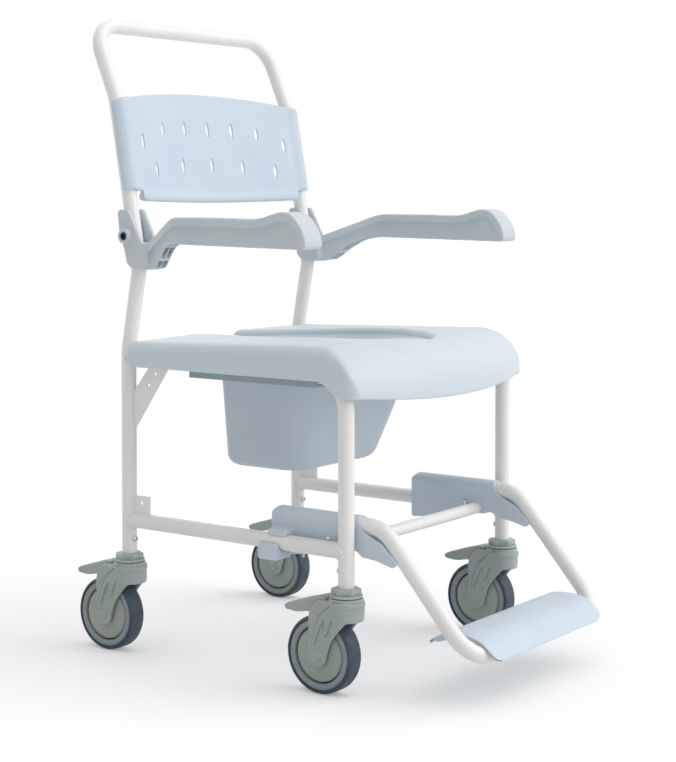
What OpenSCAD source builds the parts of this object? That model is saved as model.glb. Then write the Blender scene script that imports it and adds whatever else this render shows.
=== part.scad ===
// Shower commode chair on four braked casters. The armrests fold up, the pan slides out
// to the rear, the footrest slides in under the seat and its plate flips up.
// Millimetres. X is the width, the front of the chair faces -Y, Z is up, the floor is Z = 0.

/* [Frame] */
// Diameter of the frame tubes
tube_d = 25; // [23:0.5:27]
// Wall of the frame tubes
tube_wall = 2; // [1.2:0.1:3]
// Distance between the axes of the left and right legs
track_w = 464; // [440:2:500]
// Distance between the axes of the front and rear legs
wheelbase = 446; // [430:2:470]
// Height of the lower side rails above the legs' lower ends
lower_rail_rise = 55; // [44:1:68]
// Height of the rails that carry the seat
seat_rail_z = 494; // [470:1:510]
// Bend radius where a front leg turns into a seat rail
seat_bend_r = 60; // [45:1:70]
// Distance of the front cross tube behind the front legs
front_cross_inset = 75; // [68:1:85]
// Distance of the rear cross tube before the rear legs
rear_cross_inset = 45; // [35:1:55]

/* [Back] */
// Height above the seat rails at which the rear tubes begin to lean forward
lean_rise = 12; // [5:1:30]
// Height of the waist, where the rear tubes lean furthest forward
waist_z = 645; // [635:1:655]
// Distance of the waist before the rear legs
waist_forward = 25; // [15:1:35]
// Height of the shoulder, where the rear tubes lean back further
shoulder_z = 927; // [910:1:945]
// Distance of the shoulder behind the rear legs
shoulder_back = 26.5; // [15:0.5:40]
// Height of the push bar
bar_z = 1052; // [1030:1:1080]
// Distance of the push bar behind the rear legs
bar_back = 80; // [60:1:100]
// Bend radius of the rear tubes
back_bend_r = 90; // [60:5:120]
// Bend radius at the two ends of the push bar
bar_bend_r = 55; // [40:1:70]

/* [Plates] */
// Thickness of the welded plates
plate_t = 3; // [2:0.5:5]
// Length of a seat gusset along its leg, from the rail axis to its lower corner
gusset_leg_low = 138; // [120:1:150]
// Length of a seat gusset along its leg, from the rail axis to its upper corner
gusset_leg_high = 70; // [60:1:80]
// Length of a seat gusset along its rail, from the leg axis to its rear corner
gusset_rail_near = 57; // [50:1:65]
// Length of a seat gusset along its rail, from the leg axis to its front corner
gusset_rail_far = 97; // [90:1:110]
// Diameter of the two holes in a seat gusset
gusset_hole_d = 6.6; // [5:0.1:8]
// Length of a rail tab along the lower rail, from the leg axis
tab_len = 46; // [40:1:55]
// Height of a rail tab above the axis of the lower rail
tab_h = 42; // [36:1:50]
// Diameter of the hole in a rail tab
tab_hole_d = 6.6; // [5:0.1:8]

/* [Seat] */
// Gap between the seat rails and the seat's skirt
seat_gap = 1; // [0.5:0.1:2]
// Wall of the seat's skirt
seat_wall = 6.5; // [5:0.5:9]
// Thickness of the seat at its rear edge
seat_rear_t = 15.5; // [12:0.5:20]
// Thickness of the seat at its front
seat_front_t = 28.5; // [22:0.5:34]
// Depth of the side skirt below the seat's underside
skirt_drop = 25.5; // [20:0.5:32]
// Depth of the front apron below the seat's underside at its corners
apron_drop = 50; // [44:1:58]
// How much deeper the front apron is at its middle
apron_dip = 12; // [0:1:20]
// Distance of the seat's rear edge behind the rear legs
seat_rear_over = 5; // [0:1:12]
// Distance of the seat's front corners before the front legs
seat_front_over = 33; // [28:1:45]
// How far the front edge bows forward of its corners
seat_bow = 28; // [0:1:40]
// Corner radius of the seat's outline at the front
seat_corner_r = 25; // [18:1:35]
// Edge radius along the seat's sides
seat_edge_r = 24; // [15:1:30]
// Length of the rounded front roll
seat_roll = 92; // [60:1:100]
// Depth of the rounded front roll
seat_roll_h = 72; // [55:1:78]
// Width of the opening at the rear edge
opening_rear_w = 96; // [80:1:120]
// Width of the opening at its widest
opening_w = 244; // [210:2:250]
// Distance of the opening's widest place before the middle of the wheelbase
opening_forward = 25; // [0:1:40]
// Length of the opening's front half
opening_front = 192; // [170:1:195]
// Length of the sloped lip at the front of the opening
opening_slope = 92; // [60:1:95]

/* [Backrest] */
// Thickness of the backrest panel
panel_t = 4; // [3:0.5:6]
// Radius of the panel's hollow
panel_r = 975; // [900:5:1200]
// Distance of the panel's face before the tubes' axes, at the tubes
panel_front = 22; // [20:0.5:22]
// Wall of the sleeves round the rear tubes
sleeve_wall = 5; // [4:0.5:6]
// Height of the sleeves' lower ends above the waist, along the tube
sleeve_low = 131; // [125:1:140]
// Length of the sleeves
sleeve_len = 144; // [130:1:146]
// Height of the panel's lower edge above the waist, along the tube
panel_low = 111; // [105:1:118]
// Height of the panel's outer ends above its lower edge
panel_step = 17; // [8:1:24]
// Height of the panel's upper corners above the waist, along the tube
panel_high = 282; // [270:1:290]
// Rise of the panel's arched upper edge
panel_arch = 21; // [10:1:30]
// Distance of the panel's sides outside the tube axes
panel_over = 9; // [4:0.5:14]
// Corner radius of the panel
panel_corner_r = 14; // [6:1:20]
// Length of the drain slots
slot_len = 28; // [20:1:34]
// Width of the drain slots
slot_w = 8; // [5:0.5:10]

/* [Armrests] */
// Height of the armrest pivots
arm_pivot_z = 697; // [689:1:705]
// Diameter of the pivot bolts
arm_bolt_d = 8; // [6:0.5:10]
// Gap between a rear tube and the armrest's cheeks
arm_gap = 1.5; // [1:0.1:3]
// Thickness of the armrest's cheeks
cheek_t = 8; // [6:0.5:10]
// Distance from the pivot to the front of the armrest
arm_len = 411; // [360:1:430]
// Width of the armrest
arm_w = 44; // [36:1:50]
// Distance from the tube's plane to the middle of the armrest
arm_offset = 56; // [52:1:64]
// Height of the armrest's top above the pivot
arm_top = 33; // [28:1:38]
// Depth of the armrest's underside below the pivot
arm_under = 9; // [6:1:14]
// Depth of the armrest's rim
arm_rim = 13; // [9:1:16]
// How far the web of the armrest lies behind its rim
arm_recess = 7; // [3:0.5:10]
// Height of the cheeks above the pivot
cheek_up = 44; // [36:1:48]
// Depth of the cheeks below the pivot
cheek_down = 55; // [48:1:58]

/* [Pan] */
// Height of the pan rails' lower faces
pan_rail_z = 462; // [440:1:468]
// Distance between the outer faces of the pan rails
pan_rail_span = 364; // [350:1:372]
// Length of the pan rails
pan_rail_len = 262; // [240:1:264]
// Distance of the pan rails' rear ends before the rear legs
pan_rail_inset = 89; // [88:1:93]
// Thickness of the pan rails
pan_rail_t = 3; // [2:0.5:4]
// Width of the pan rails' lips
pan_lip = 24; // [18:1:30]
// Sliding clearance of the pan in its rails
pan_clear = 0.6; // [0.4:0.1:1]
// Gap between the pan's sides and the rails' lips
pan_side_gap = 18; // [14:1:30]
// Length of the pan at its rim
pan_len = 226; // [200:2:236]
// Depth of the pan below its flange
pan_depth = 155; // [120:1:170]
// Wall of the pan
pan_wall = 3; // [2:0.5:4]
// How much each side of the pan draws in towards its bottom
pan_side_draft = 17; // [10:1:30]
// How much the front of the pan draws in towards its bottom
pan_front_draft = 55; // [30:1:70]
// Corner radius of the pan
pan_corner_r = 36; // [24:1:45]

/* [Footrest] */
// Gap between the front legs and the footrest's brackets
foot_gap = 4; // [3:0.5:6]
// Wall of the footrest's brackets
bracket_wall = 3; // [2:0.5:4]
// Height of the footrest tube above the lower rails
foot_rise = 36; // [33:0.5:42]
// Distance of the footrest tube's rear ends behind the front legs
foot_tail = 155; // [140:1:170]
// Distance of the footrest tube's bend before the front legs
foot_bend_over = 46; // [40:1:60]
// Distance of the foot bar before the front legs
foot_reach = 202; // [190:1:240]
// Height of the foot bar
foot_bar_z = 79; // [75:1:105]
// Bend radius of the footrest tube
foot_bend_r = 50; // [35:1:60]
// Diameter of the footrest's cross tube
cross_d = 20; // [16:1:24]
// Distance of the footrest's cross tube behind the front legs
cross_back = 24; // [20:1:30]
// Height of the footrest's cross tube above the lower rails
cross_rise = 3; // [0:1:6]
// Depth of the brackets below the lower rails' axes
bracket_drop = 27; // [24:1:32]
// Clearance of the brackets' hooks round the lower rails
hook_clear = 0.6; // [0.4:0.1:1]
// Length of a hook along its rail
hook_len = 38; // [30:1:44]
// Thickness of a hook
hook_t = 7; // [5:0.5:9]
// Diameter of the bracket bolts
bracket_bolt_d = 6; // [5:0.5:8]

/* [Footplate] */
// Width of the footplate
foot_plate_w = 338; // [300:2:344]
// Depth of the footplate behind the foot bar
foot_plate_rear = 100; // [80:1:110]
// Depth of the footplate before the foot bar
foot_plate_front = 26; // [22:1:34]
// Height of the footplate's crown above the foot bar
foot_plate_crown = 28.5; // [26:0.5:36]
// Thickness of the footplate
foot_plate_t = 3; // [2.5:0.5:4]
// Clearance of the footplate's clips round the foot bar
clip_clear = 0.3; // [0.2:0.05:0.5]
// Width of the clips that hold the footplate on the foot bar
clip_w = 22; // [14:1:30]

/* [Casters] */
// Diameter of the wheels
wheel_d = 122; // [110:1:128]
// Width of the tyres
tyre_w = 32; // [26:1:36]
// Thickness of the tyres
tyre_t = 5.5; // [4.5:0.5:7]
// Distance of the wheel axles behind the swivel axes
trail = 42; // [36:1:48]
// Diameter of the wheel axles
axle_d = 8; // [6:0.5:10]
// Gap between a tyre and a fork cheek
fork_gap = 2; // [1.5:0.5:4]
// Thickness of the fork cheeks
fork_t = 6; // [4:0.5:8]
// Gap between the top of a wheel and its fork
crown_gap = 4; // [3:0.5:8]
// Diameter of the fork head
head_d = 53; // [50:1:56]
// Height of the fork head
head_h = 27; // [24:1:32]
// Gap between the fork head and the collar
swivel_gap = 1; // [0.5:0.1:2]
// Height of the collar's round flange
flange_h = 4; // [3:0.5:6]
// Height of the collar's hexagon
hex_h = 10; // [8:0.5:14]
// Width of the collar's hexagon across its corners
hex_d = 48; // [44:1:50]
// Diameter of the swivel pins
kingpin_d = 12; // [10:0.5:14]
// Length of the stems inside the legs
stem_len = 45; // [40:1:52]
// Distance from a swivel axis to the tip of its brake pedal
pedal_reach = 110; // [100:1:118]
// Width of the brake pedals
pedal_w = 32; // [24:1:34]
// Diameter of the pedal pins
pedal_pin_d = 5; // [4:0.5:6]

/* [Hidden] */
// Radial clearance of every running fit
run_fit = 0.05;
// Clearance of the seat above the tubes that carry it
seat_fit = 0.3;
// Gap all round a tube end that is shaped to meet a rear leg
weld_gap = 0.1;
// How far a cut runs past the faces it cuts
overrun = 2;
// Lap of a tube's straight runs into its bends, and how much thicker the bends are in radius
lap = 1;
hair = 0.2;
// Fineness of round shapes and of hulls
$fn = 64;
hull_fn = 28;
// How upright a direction may be before another side vector is used
steep_share = 0.9;

// Colours
tube_color = [0.9, 0.89, 0.88];
plastic_color = [0.8, 0.87, 0.92];
caster_color = [0.55, 0.6, 0.58];
disc_color = [0.62, 0.66, 0.63];
tyre_color = [0.2, 0.24, 0.29];
steel_color = [0.7, 0.7, 0.72];

// Places of the legs and rails
leg_x = track_w / 2;
front_y = -wheelbase / 2;
rear_y = wheelbase / 2;
bore_d = tube_d - 2 * tube_wall;
under_z = seat_rail_z + tube_d / 2;
seat_under_z = under_z + hair + seat_fit;

// Heights in a caster, from the floor up
axle_z = wheel_d / 2;
head_z = wheel_d + crown_gap;
flange_z = head_z + head_h + swivel_gap;
leg_foot_z = flange_z + flange_h + hex_h;
lower_rail_z = leg_foot_z + lower_rail_rise;

// Corners of a rear tube, in the plane of its legs
lean_z = under_z - tube_d / 2 + lean_rise;
waist_y = rear_y - waist_forward;
shoulder_y = rear_y + shoulder_back;
bar_y = rear_y + bar_back;
back_dir = unit([0, shoulder_y - waist_y, shoulder_z - waist_z]);
back_tilt = atan2(shoulder_y - waist_y, shoulder_z - waist_z);
splice_share = 0.86;
splice_y = waist_y + (shoulder_y - waist_y) * splice_share;
splice_z = waist_z + (shoulder_z - waist_z) * splice_share;
arm_pivot_y = waist_y + (arm_pivot_z - waist_z) * tan(back_tilt);

// Places of the footrest
foot_x = leg_x - tube_d - foot_gap - bracket_wall;
foot_z = lower_rail_z + foot_rise;
foot_bend_y = front_y - foot_bend_over;
foot_bar_y = front_y - foot_reach;
foot_tail_y = front_y + foot_tail;
hood_r = tube_d / 2 + bracket_wall;
bracket_rear_y = foot_tail_y + bracket_wall;

// The part stands with the middle of its length on the origin
front_end_y = foot_bar_y - foot_plate_front;
rear_end_y = rear_y + pedal_reach;
centre_y = -(front_end_y + rear_end_y) / 2;

// Vectors and curves
function unit(v) = v / norm(v);
function mix(a, b, share) = a + (b - a) * share;
function corner_angle(a, c, b) = acos(unit(a - c) * unit(b - c));
function bend_take(a, c, b, r) = r / tan(corner_angle(a, c, b) / 2);

// Points of an arc about a centre, from one angle to another, in a number of steps
function arc(centre, r, from, to, steps) =
    [for (i = [0 : steps]) centre + r * [cos(mix(from, to, i / steps)), sin(mix(from, to, i / steps))]];

// Points of a curve from a to b that is drawn towards c
function curve(a, c, b, steps) =
    [for (i = [0 : steps]) mix(mix(a, c, i / steps), mix(c, b, i / steps), i / steps)];

// One point of a smooth curve through four neighbours, between the middle two
function smooth_point(p0, p1, p2, p3, t) =
    (2 * p1 + (p2 - p0) * t + (2 * p0 - 5 * p1 + 4 * p2 - p3) * t * t
        + (3 * p1 - p0 - 3 * p2 + p3) * t * t * t) / 2;

// Points of a smooth curve through a list of points
function smooth(points, steps) =
    let (last = len(points) - 1)
    [for (i = [0 : last * steps])
        let (k = min(floor(i / steps), last - 1))
        smooth_point(points[max(k - 1, 0)], points[k], points[k + 1], points[min(k + 2, last)],
            i / steps - k)];

// The chair stands with its middle on the origin
module placed() {
    translate([0, centre_y, 0]) children();
}

// Shapes are made for the left side, +X, and mirrored for the right
module sided(side) {
    mirror([side < 0 ? 1 : 0, 0, 0]) children();
}

// Turns a flat outline in Y and Z into a plate between two places in X
module plate_x(from, to) {
    translate([from, 0, 0])
        rotate([90, 0, 90])
        linear_extrude(to - from) children();
}

// A round bar along X between two places
module bar_x(from, to, d, y, z) {
    translate([from, y, z]) rotate([0, 90, 0]) cylinder(d = d, h = to - from);
}

// Puts +Z of what it holds on the line from a towards b
module aimed(a, b) {
    d = unit(b - a);
    side = unit(cross(abs(d[2]) < steep_share ? [0, 0, 1] : [1, 0, 0], d));
    up = cross(d, side);
    multmatrix([
        [side[0], up[0], d[0], a[0]],
        [side[1], up[1], d[1], a[1]],
        [side[2], up[2], d[2], a[2]]
    ]) children();
}

// One bend of a round bar at a corner c between a and b
module bend(a, c, b, r, d) {
    angle = corner_angle(a, c, b);
    centre = c + unit(unit(a - c) + unit(b - c)) * r / sin(angle / 2);
    ey = -unit(a - c);
    ex = unit(c - ey * bend_take(a, c, b, r) - centre);
    ez = cross(ex, ey);
    multmatrix([
        [ex[0], ey[0], ez[0], centre[0]],
        [ex[1], ey[1], ez[1], centre[1]],
        [ex[2], ey[2], ez[2], centre[2]]
    ]) rotate_extrude(angle = 180 - angle) translate([r, 0]) circle(d = d);
}

// A round bar along points, with a bend at each inner point. Its straight runs lap into the
// bends, which are thicker by a hair, and its ends run on by a given length
module bent_bar(points, radii, d, run_on) {
    last = len(points) - 1;
    for (i = [0 : last - 1]) {
        p = points[i];
        q = points[i + 1];
        d_pq = unit(q - p);
        from = i == 0 ? run_on : lap - bend_take(points[i - 1], p, q, radii[i - 1]);
        to = i == last - 1 ? run_on : lap - bend_take(p, q, points[i + 2], radii[i]);
        aimed(p - d_pq * from, q) cylinder(d = d, h = norm(q - p) + from + to);
    }
    for (i = [1 : 1 : last - 1])
        bend(points[i - 1], points[i], points[i + 1], radii[i - 1], d + 2 * hair);
}

// A hollow frame tube along points
module bent_tube(points, radii) {
    difference() {
        bent_bar(points, radii, tube_d, 0);
        bent_bar(points, radii, bore_d, overrun);
    }
}

// Rear leg and back tube, up to the splice inside the backrest's sleeve
rear_points = [
    [leg_x, rear_y, leg_foot_z],
    [leg_x, rear_y, lean_z],
    [leg_x, waist_y, waist_z],
    [leg_x, splice_y, splice_z]
];

module rear_leg(side) {
    sided(side) difference() {
        bent_tube(rear_points, [back_bend_r, back_bend_r]);
        bar_x(leg_x - tube_d, leg_x + tube_d, arm_bolt_d, arm_pivot_y, arm_pivot_z);
    }
}

module push_handle() {
    color(tube_color) bent_tube([
        [-leg_x, splice_y, splice_z],
        [-leg_x, shoulder_y, shoulder_z],
        [-leg_x, bar_y, bar_z],
        [leg_x, bar_y, bar_z],
        [leg_x, shoulder_y, shoulder_z],
        [leg_x, splice_y, splice_z]
    ], [back_bend_r, bar_bend_r, bar_bend_r, back_bend_r]);
}

// Front leg that bends back into the rail under the seat
side_points = [
    [leg_x, front_y, leg_foot_z],
    [leg_x, front_y, seat_rail_z],
    [leg_x, rear_y, seat_rail_z]
];

// The outer skin of a rear leg, for the ends that are shaped to meet it
module rear_leg_skin() {
    bent_bar(rear_points, [back_bend_r, back_bend_r], tube_d + 2 * weld_gap, 0);
}

module side_tube(side) {
    sided(side) difference() {
        bent_tube(side_points, [seat_bend_r]);
        rear_leg_skin();
    }
}

module lower_rail(side) {
    sided(side) difference() {
        bent_tube([[leg_x, front_y, lower_rail_z], [leg_x, rear_y, lower_rail_z]], []);
        translate([leg_x, front_y, leg_foot_z]) cylinder(d = tube_d, h = seat_rail_z - leg_foot_z);
        rear_leg_skin();
    }
}

// Cross tube under the seat, shaped to meet both seat rails
module seat_cross_tube(y) {
    difference() {
        bent_tube([[-leg_x, y, seat_rail_z], [leg_x, y, seat_rail_z]], []);
        for (side = [-1, 1])
            sided(side) bent_bar(side_points, [seat_bend_r], tube_d, 0);
    }
}

// Slanted plate between a rear leg and its seat rail
gusset_hole_shares = [0.58, 0.77];

module gusset(side) {
    leg_mid = -(gusset_leg_low + gusset_leg_high) / 2;
    rail_mid = -(gusset_rail_near + gusset_rail_far) / 2;
    sided(side) difference() {
        translate([0, rear_y, seat_rail_z]) plate_x(leg_x - plate_t / 2, leg_x + plate_t / 2)
            polygon([[0, -gusset_leg_low], [0, -gusset_leg_high],
                [-gusset_rail_near, 0], [-gusset_rail_far, 0]]);
        rear_leg_skin();
        bent_bar(side_points, [seat_bend_r], tube_d, 0);
        for (share = gusset_hole_shares)
            bar_x(leg_x - plate_t, leg_x + plate_t, gusset_hole_d,
                rear_y + rail_mid * share, seat_rail_z + leg_mid * (1 - share));
    }
}

// Plate in the corner above a lower rail
tab_hole_shares = [0.61, 0.71];

module rail_tab(side) {
    sided(side) difference() {
        translate([0, rear_y, lower_rail_z]) plate_x(leg_x - plate_t / 2, leg_x + plate_t / 2)
            polygon([[0, 0], [0, tab_h], [-tab_len, tab_h], [-tab_len, 0]]);
        rear_leg_skin();
        bar_along_rail(tube_d);
        bar_x(leg_x - plate_t, leg_x + plate_t, tab_hole_d,
            rear_y - tab_len * tab_hole_shares[0], lower_rail_z + tab_h * tab_hole_shares[1]);
    }
}

// A round bar on the axis of the left lower rail
module bar_along_rail(d) {
    translate([leg_x, front_y, lower_rail_z]) rotate([-90, 0, 0]) cylinder(d = d, h = wheelbase);
}

// Screws that hold the caster stems, in front of the rear legs and behind the front legs
screw_head_d = 10;
screw_head_h = 3;
screw_rise = 24;

module stem_screws() {
    color(steel_color)
    for (x = [-leg_x, leg_x], end = [-1, 1])
        translate([x, end * rear_y, leg_foot_z + screw_rise]) difference() {
            rotate([end * 90, 0, 0]) cylinder(d = screw_head_d, h = tube_d / 2 + screw_head_h);
            translate([0, 0, -screw_head_d]) cylinder(d = tube_d, h = 2 * screw_head_d);
        }
}

// Seat: a shell that runs round the opening from the left rear end to the right one
side_steps = 7;
approach_steps = 5;
corner_steps = 4;
front_steps = 6;
roll_steps = 6;
approach_share = 0.2;
fall_shares = [0.25, 0.8];
corner_share = 0.6;
rim_r = seat_wall;
seat_half_w = leg_x + tube_d / 2 + seat_gap + seat_wall;
seat_rear_y = rear_y + seat_rear_over;
seat_side_y = rear_y - tube_d / 2 - 6.5 * seat_gap;
seat_corner_y = front_y - seat_front_over;
seat_bend_y = seat_corner_y + seat_corner_r;
seat_roll_y = seat_bend_y + seat_roll;
corner_x = seat_half_w - seat_corner_r;

// Height of the seat's top above its underside at a place along Y
function seat_rise(y) = mix(seat_front_t, seat_rear_t,
    max(0, (y - front_y) / (seat_rear_y - front_y)));

// Half width of the opening, from its widest place back to the rear edge
function opening_half(share) = mix(opening_w, opening_rear_w, (1 - cos(180 * share)) / 2) / 2;

// A point on the front half of the opening, at its rim or at its foot
function opening_point(way, inset, reach) =
    [cos(90 * way) * (opening_w / 2 - inset), -opening_forward - reach * sin(90 * way)];

// The outline's points on the left side, each with its share of the way round to the front
seat_outline = concat(
    [for (i = [0 : side_steps])
        [[seat_half_w, mix(seat_side_y, seat_roll_y, i / side_steps)], 0]],
    [for (i = [1 : approach_steps])
        let (share = i / approach_steps)
        [[seat_half_w, mix(seat_roll_y, seat_bend_y, share)], approach_share * share]],
    [for (i = [1 : corner_steps])
        let (share = i / corner_steps)
        [[corner_x, seat_bend_y] + seat_corner_r * [cos(90 * share), -sin(90 * share)],
            mix(approach_share, corner_share, share)]],
    [for (i = [1 : front_steps])
        let (share = i / front_steps)
        [[corner_x * (1 - share), seat_corner_y - seat_bow * (1 - (1 - share) * (1 - share))],
            mix(corner_share, 1, share)]]
);

// The opening's rim and foot beside each point of the outline
function rim_point(i) =
    i < side_steps ? [opening_half(1 - i / side_steps), mix(seat_rear_y, -opening_forward, i / side_steps)] :
    opening_point(seat_outline[i][1], 0, opening_front);

function foot_point(i) =
    i < side_steps ? rim_point(i) - unit(seat_outline[i][0] - rim_point(i)) * rim_r / 2 :
    opening_point(seat_outline[i][1], rim_r / 2, opening_front - opening_slope);

// Closed section of the seat at a station, from the opening's foot up, over and down
function seat_section(i) =
    let (outer = seat_outline[i][0],
        rim = rim_point(i),
        way = seat_outline[i][1],
        out = unit(outer - rim),
        turned = min(1, 2 * way),
        roll = mix(seat_edge_r, seat_roll, turned),
        roll_h = mix(seat_edge_r, seat_roll_h, turned),
        dip = max(0, (way - corner_share) / (1 - corner_share)),
        fall = max(0, min(1, (way / approach_share - fall_shares[0]) / (fall_shares[1] - fall_shares[0]))),
        low_z = under_z - mix(skirt_drop, apron_drop, fall * fall) - apron_dip * dip * (2 - dip),
        top_z = under_z + seat_rise(outer[1]),
        knee_z = top_z - roll_h,
        reach = min(roll, norm(outer - rim) - 2 * rim_r),
        first = acos(1 - reach / roll),
        crest_z = knee_z + roll_h * sin(first),
        tucked = max(0, (turned - 2 * approach_share) / (1 - 2 * approach_share)),
        inner_w = mix(rim_r, roll - seat_wall, tucked),
        inner_h = mix(rim_r, max(seat_under_z - knee_z, rim_r), tucked))
    concat(
        [section_point(foot_point(i), seat_under_z)],
        [for (turn = [180, 135, 90])
            section_point(rim + out * rim_r * (1 + cos(turn)), crest_z - rim_r * (1 - sin(turn)))],
        [for (k = [0 : roll_steps])
            let (turn = first - first * k / roll_steps)
            section_point(outer - out * roll * (1 - cos(turn)), knee_z + roll_h * sin(turn))],
        [section_point(outer, low_z), section_point(outer - out * seat_wall, low_z)],
        [for (k = [0 : roll_steps])
            let (turn = 90 * k / roll_steps)
            section_point(outer - out * (seat_wall + inner_w * (1 - cos(turn))),
                seat_under_z - inner_h * (1 - sin(turn)))]
    );

function section_point(p, z) = [p[0], p[1], z];

function flipped(section) = [for (p = section) [-p[0], p[1], p[2]]];

seat_left = [for (i = [0 : len(seat_outline) - 1]) seat_section(i)];
seat_sections = concat(seat_left, [for (i = [len(seat_left) - 2 : -1 : 0]) flipped(seat_left[i])]);

// A closed skin over sections that all have the same number of points
module skinned(sections) {
    n = len(sections[0]);
    last = len(sections) - 1;
    polyhedron(
        points = [for (s = sections) each s],
        faces = concat(
            [[for (i = [0 : n - 1]) i]],
            [for (k = [0 : last - 1], i = [0 : n - 1], half = [0, 1])
                let (j = (i + 1) % n, a = k * n + i, b = k * n + j, c = b + n, d = a + n)
                half == 0 ? [a, d, c] : [a, c, b]],
            [[for (i = [n - 1 : -1 : 0]) last * n + i]]
        )
    );
}

module seat() {
    color(plastic_color) skinned(seat_sections);
}

// Backrest, drawn upright at the waist and tilted to the rear tubes
upper_slot_shares = [-0.83, -0.55, -0.275, 0, 0.275, 0.55, 0.83];
lower_slot_shares = [-0.7, -0.35, 0, 0.35, 0.7];
upper_row_share = 0.75;
lower_row_share = 0.373;
row_sag_share = 0.38;
sleeve_d = tube_d + 2 * sleeve_wall;
panel_half_w = leg_x + panel_over;
panel_foot_x = leg_x - sleeve_d / 2 - sleeve_wall;
panel_back = panel_r - sqrt(panel_r * panel_r - leg_x * leg_x) - panel_front;

module backrest_outline() {
    chord_r = (panel_half_w * panel_half_w + panel_arch * panel_arch) / (2 * panel_arch);
    arch = asin(panel_half_w / chord_r);
    side_z = panel_low + panel_step;
    foot_r = panel_step / 2;
    polygon(concat(
        arc([panel_half_w - panel_corner_r, side_z + panel_corner_r], panel_corner_r, 0, -90, 6),
        [[panel_foot_x, side_z]],
        arc([panel_foot_x - foot_r, panel_low + foot_r], foot_r, 0, -90, 6),
        arc([foot_r - panel_foot_x, panel_low + foot_r], foot_r, -90, -180, 6),
        [[-panel_foot_x, side_z]],
        arc([panel_corner_r - panel_half_w, side_z + panel_corner_r], panel_corner_r, -90, -180, 6),
        arc([0, panel_high + panel_arch - chord_r], chord_r, 90 + arch, 90 - arch, 16)
    ));
}

module slot(x, z, r, depth) {
    for (end = [-1, 1])
        translate([x, -depth, z + end * (slot_len - slot_w) / 2])
            rotate([-90, 0, 0]) cylinder(r = r, h = 2 * depth);
    translate([x - r, -depth, z - (slot_len - slot_w) / 2]) cube([2 * r, 2 * depth, slot_len - slot_w]);
}

module backrest() {
    row_h = panel_high - panel_low;
    color(plastic_color)
    translate([0, waist_y, waist_z]) rotate([-back_tilt, 0, 0]) difference() {
        union() {
            intersection() {
                translate([0, panel_back - panel_r, 0]) difference() {
                    cylinder(r = panel_r + panel_t, h = panel_high + panel_low, $fn = 360);
                    translate([0, 0, -overrun])
                        cylinder(r = panel_r, h = panel_high + panel_low + 2 * overrun, $fn = 360);
                }
                translate([0, panel_half_w / 2, 0]) rotate([90, 0, 0])
                    linear_extrude(panel_half_w) backrest_outline();
            }
            for (x = [-leg_x, leg_x])
                translate([x, 0, sleeve_low]) cylinder(d = sleeve_d, h = sleeve_len);
        }
        for (x = [-leg_x, leg_x])
            translate([x, 0, 0]) cylinder(d = tube_d, h = panel_high + panel_low);
        for (share = upper_slot_shares)
            slot(share * leg_x, panel_low + row_h * upper_row_share
                - slot_len * pow(share / upper_slot_shares[0], 4), slot_w / 2, sleeve_d);
        for (share = lower_slot_shares)
            slot(share * leg_x, panel_low + row_h * lower_row_share
                - slot_len * row_sag_share * pow(share / lower_slot_shares[0], 2), slot_w / 2, sleeve_d);
    }
}

// Pivot bolt of an armrest, with a head outside and a nut inside
arm_in_x = leg_x - tube_d / 2 - arm_gap - cheek_t;
arm_out_x = leg_x + tube_d / 2 + arm_gap + cheek_t;
bolt_head_share = 1.8;
bolt_head_t_share = 0.5;
side_clear = 0.4;

module arm_bolt(side) {
    head_t = arm_bolt_d * bolt_head_t_share;
    head_d = arm_bolt_d * bolt_head_share;
    sided(side) {
        bar_x(arm_in_x - side_clear, arm_out_x + side_clear, arm_bolt_d, arm_pivot_y, arm_pivot_z);
        bar_x(arm_out_x + side_clear, arm_out_x + side_clear + head_t, head_d, arm_pivot_y, arm_pivot_z);
        bar_x(arm_in_x - side_clear - head_t, arm_in_x - side_clear, head_d, arm_pivot_y, arm_pivot_z);
    }
}

// Armrest. Its outlines are drawn forward and up from the pivot, as shares of the cheek's
// height and of the distance from the ramp to the front end
cheek_shares = [
    [-0.22, 1], [0.04, 1], [0.19, 0.71], [0.31, 0.48], [0.36, 0.44], [0.46, 0.4], [0.5, 0.06],
    [0.43, 0.01], [0.12, 0], [-0.01, 0.11], [-0.06, 0.32], [-0.17, 0.63]
];
web_shares = [[0.17, 0.44], [0.36, 0.44], [0.46, 0.4], [0.5, 0.06], [0.43, 0.01], [0.26, 0.01]];
ramp_foot_shares = [[0.37, 0.43], [0.42, 0.43], [0.6, 0.04], [0.42, 0.03]];
beam_shares = [[0, 1], [0.35, 0.98], [0.59, 0.94], [0.71, 1.03], [0.82, 1.28], [0.89, 1.19],
    [0.945, 0.82], [0.985, 0.4], [1, 0]];
ramp_len_share = 0.365;
ramp_end_share = 0.05;
beam_steps = 3;
cheek_h = cheek_up + cheek_down;
ramp_f = arm_len * ramp_len_share;
beam_len = arm_len - ramp_f;
beam_x = leg_x + arm_offset;

// From shares to flat points: forward is -Y
function cheek_point(s) = [-s[0] * cheek_h, s[1] * cheek_h - cheek_down];
function beam_point(s) = [-ramp_f - s[0] * beam_len, s[1] * arm_top];
function cheek_points(shares) = [for (s = shares) cheek_point(s)];

beam_top = smooth([for (s = beam_shares) beam_point(s)], beam_steps);
beam_bottom = [-arm_len, -arm_under];

// The points moved sideways off their own line
function line_normal(points, i) =
    let (d = unit(points[min(i + 1, len(points) - 1)] - points[max(i - 1, 0)])) [-d[1], d[0]];
function moved(points, by) = [for (i = [0 : len(points) - 1]) points[i] + by * line_normal(points, i)];
function backwards(points) = [for (i = [len(points) - 1 : -1 : 0]) points[i]];

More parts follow.
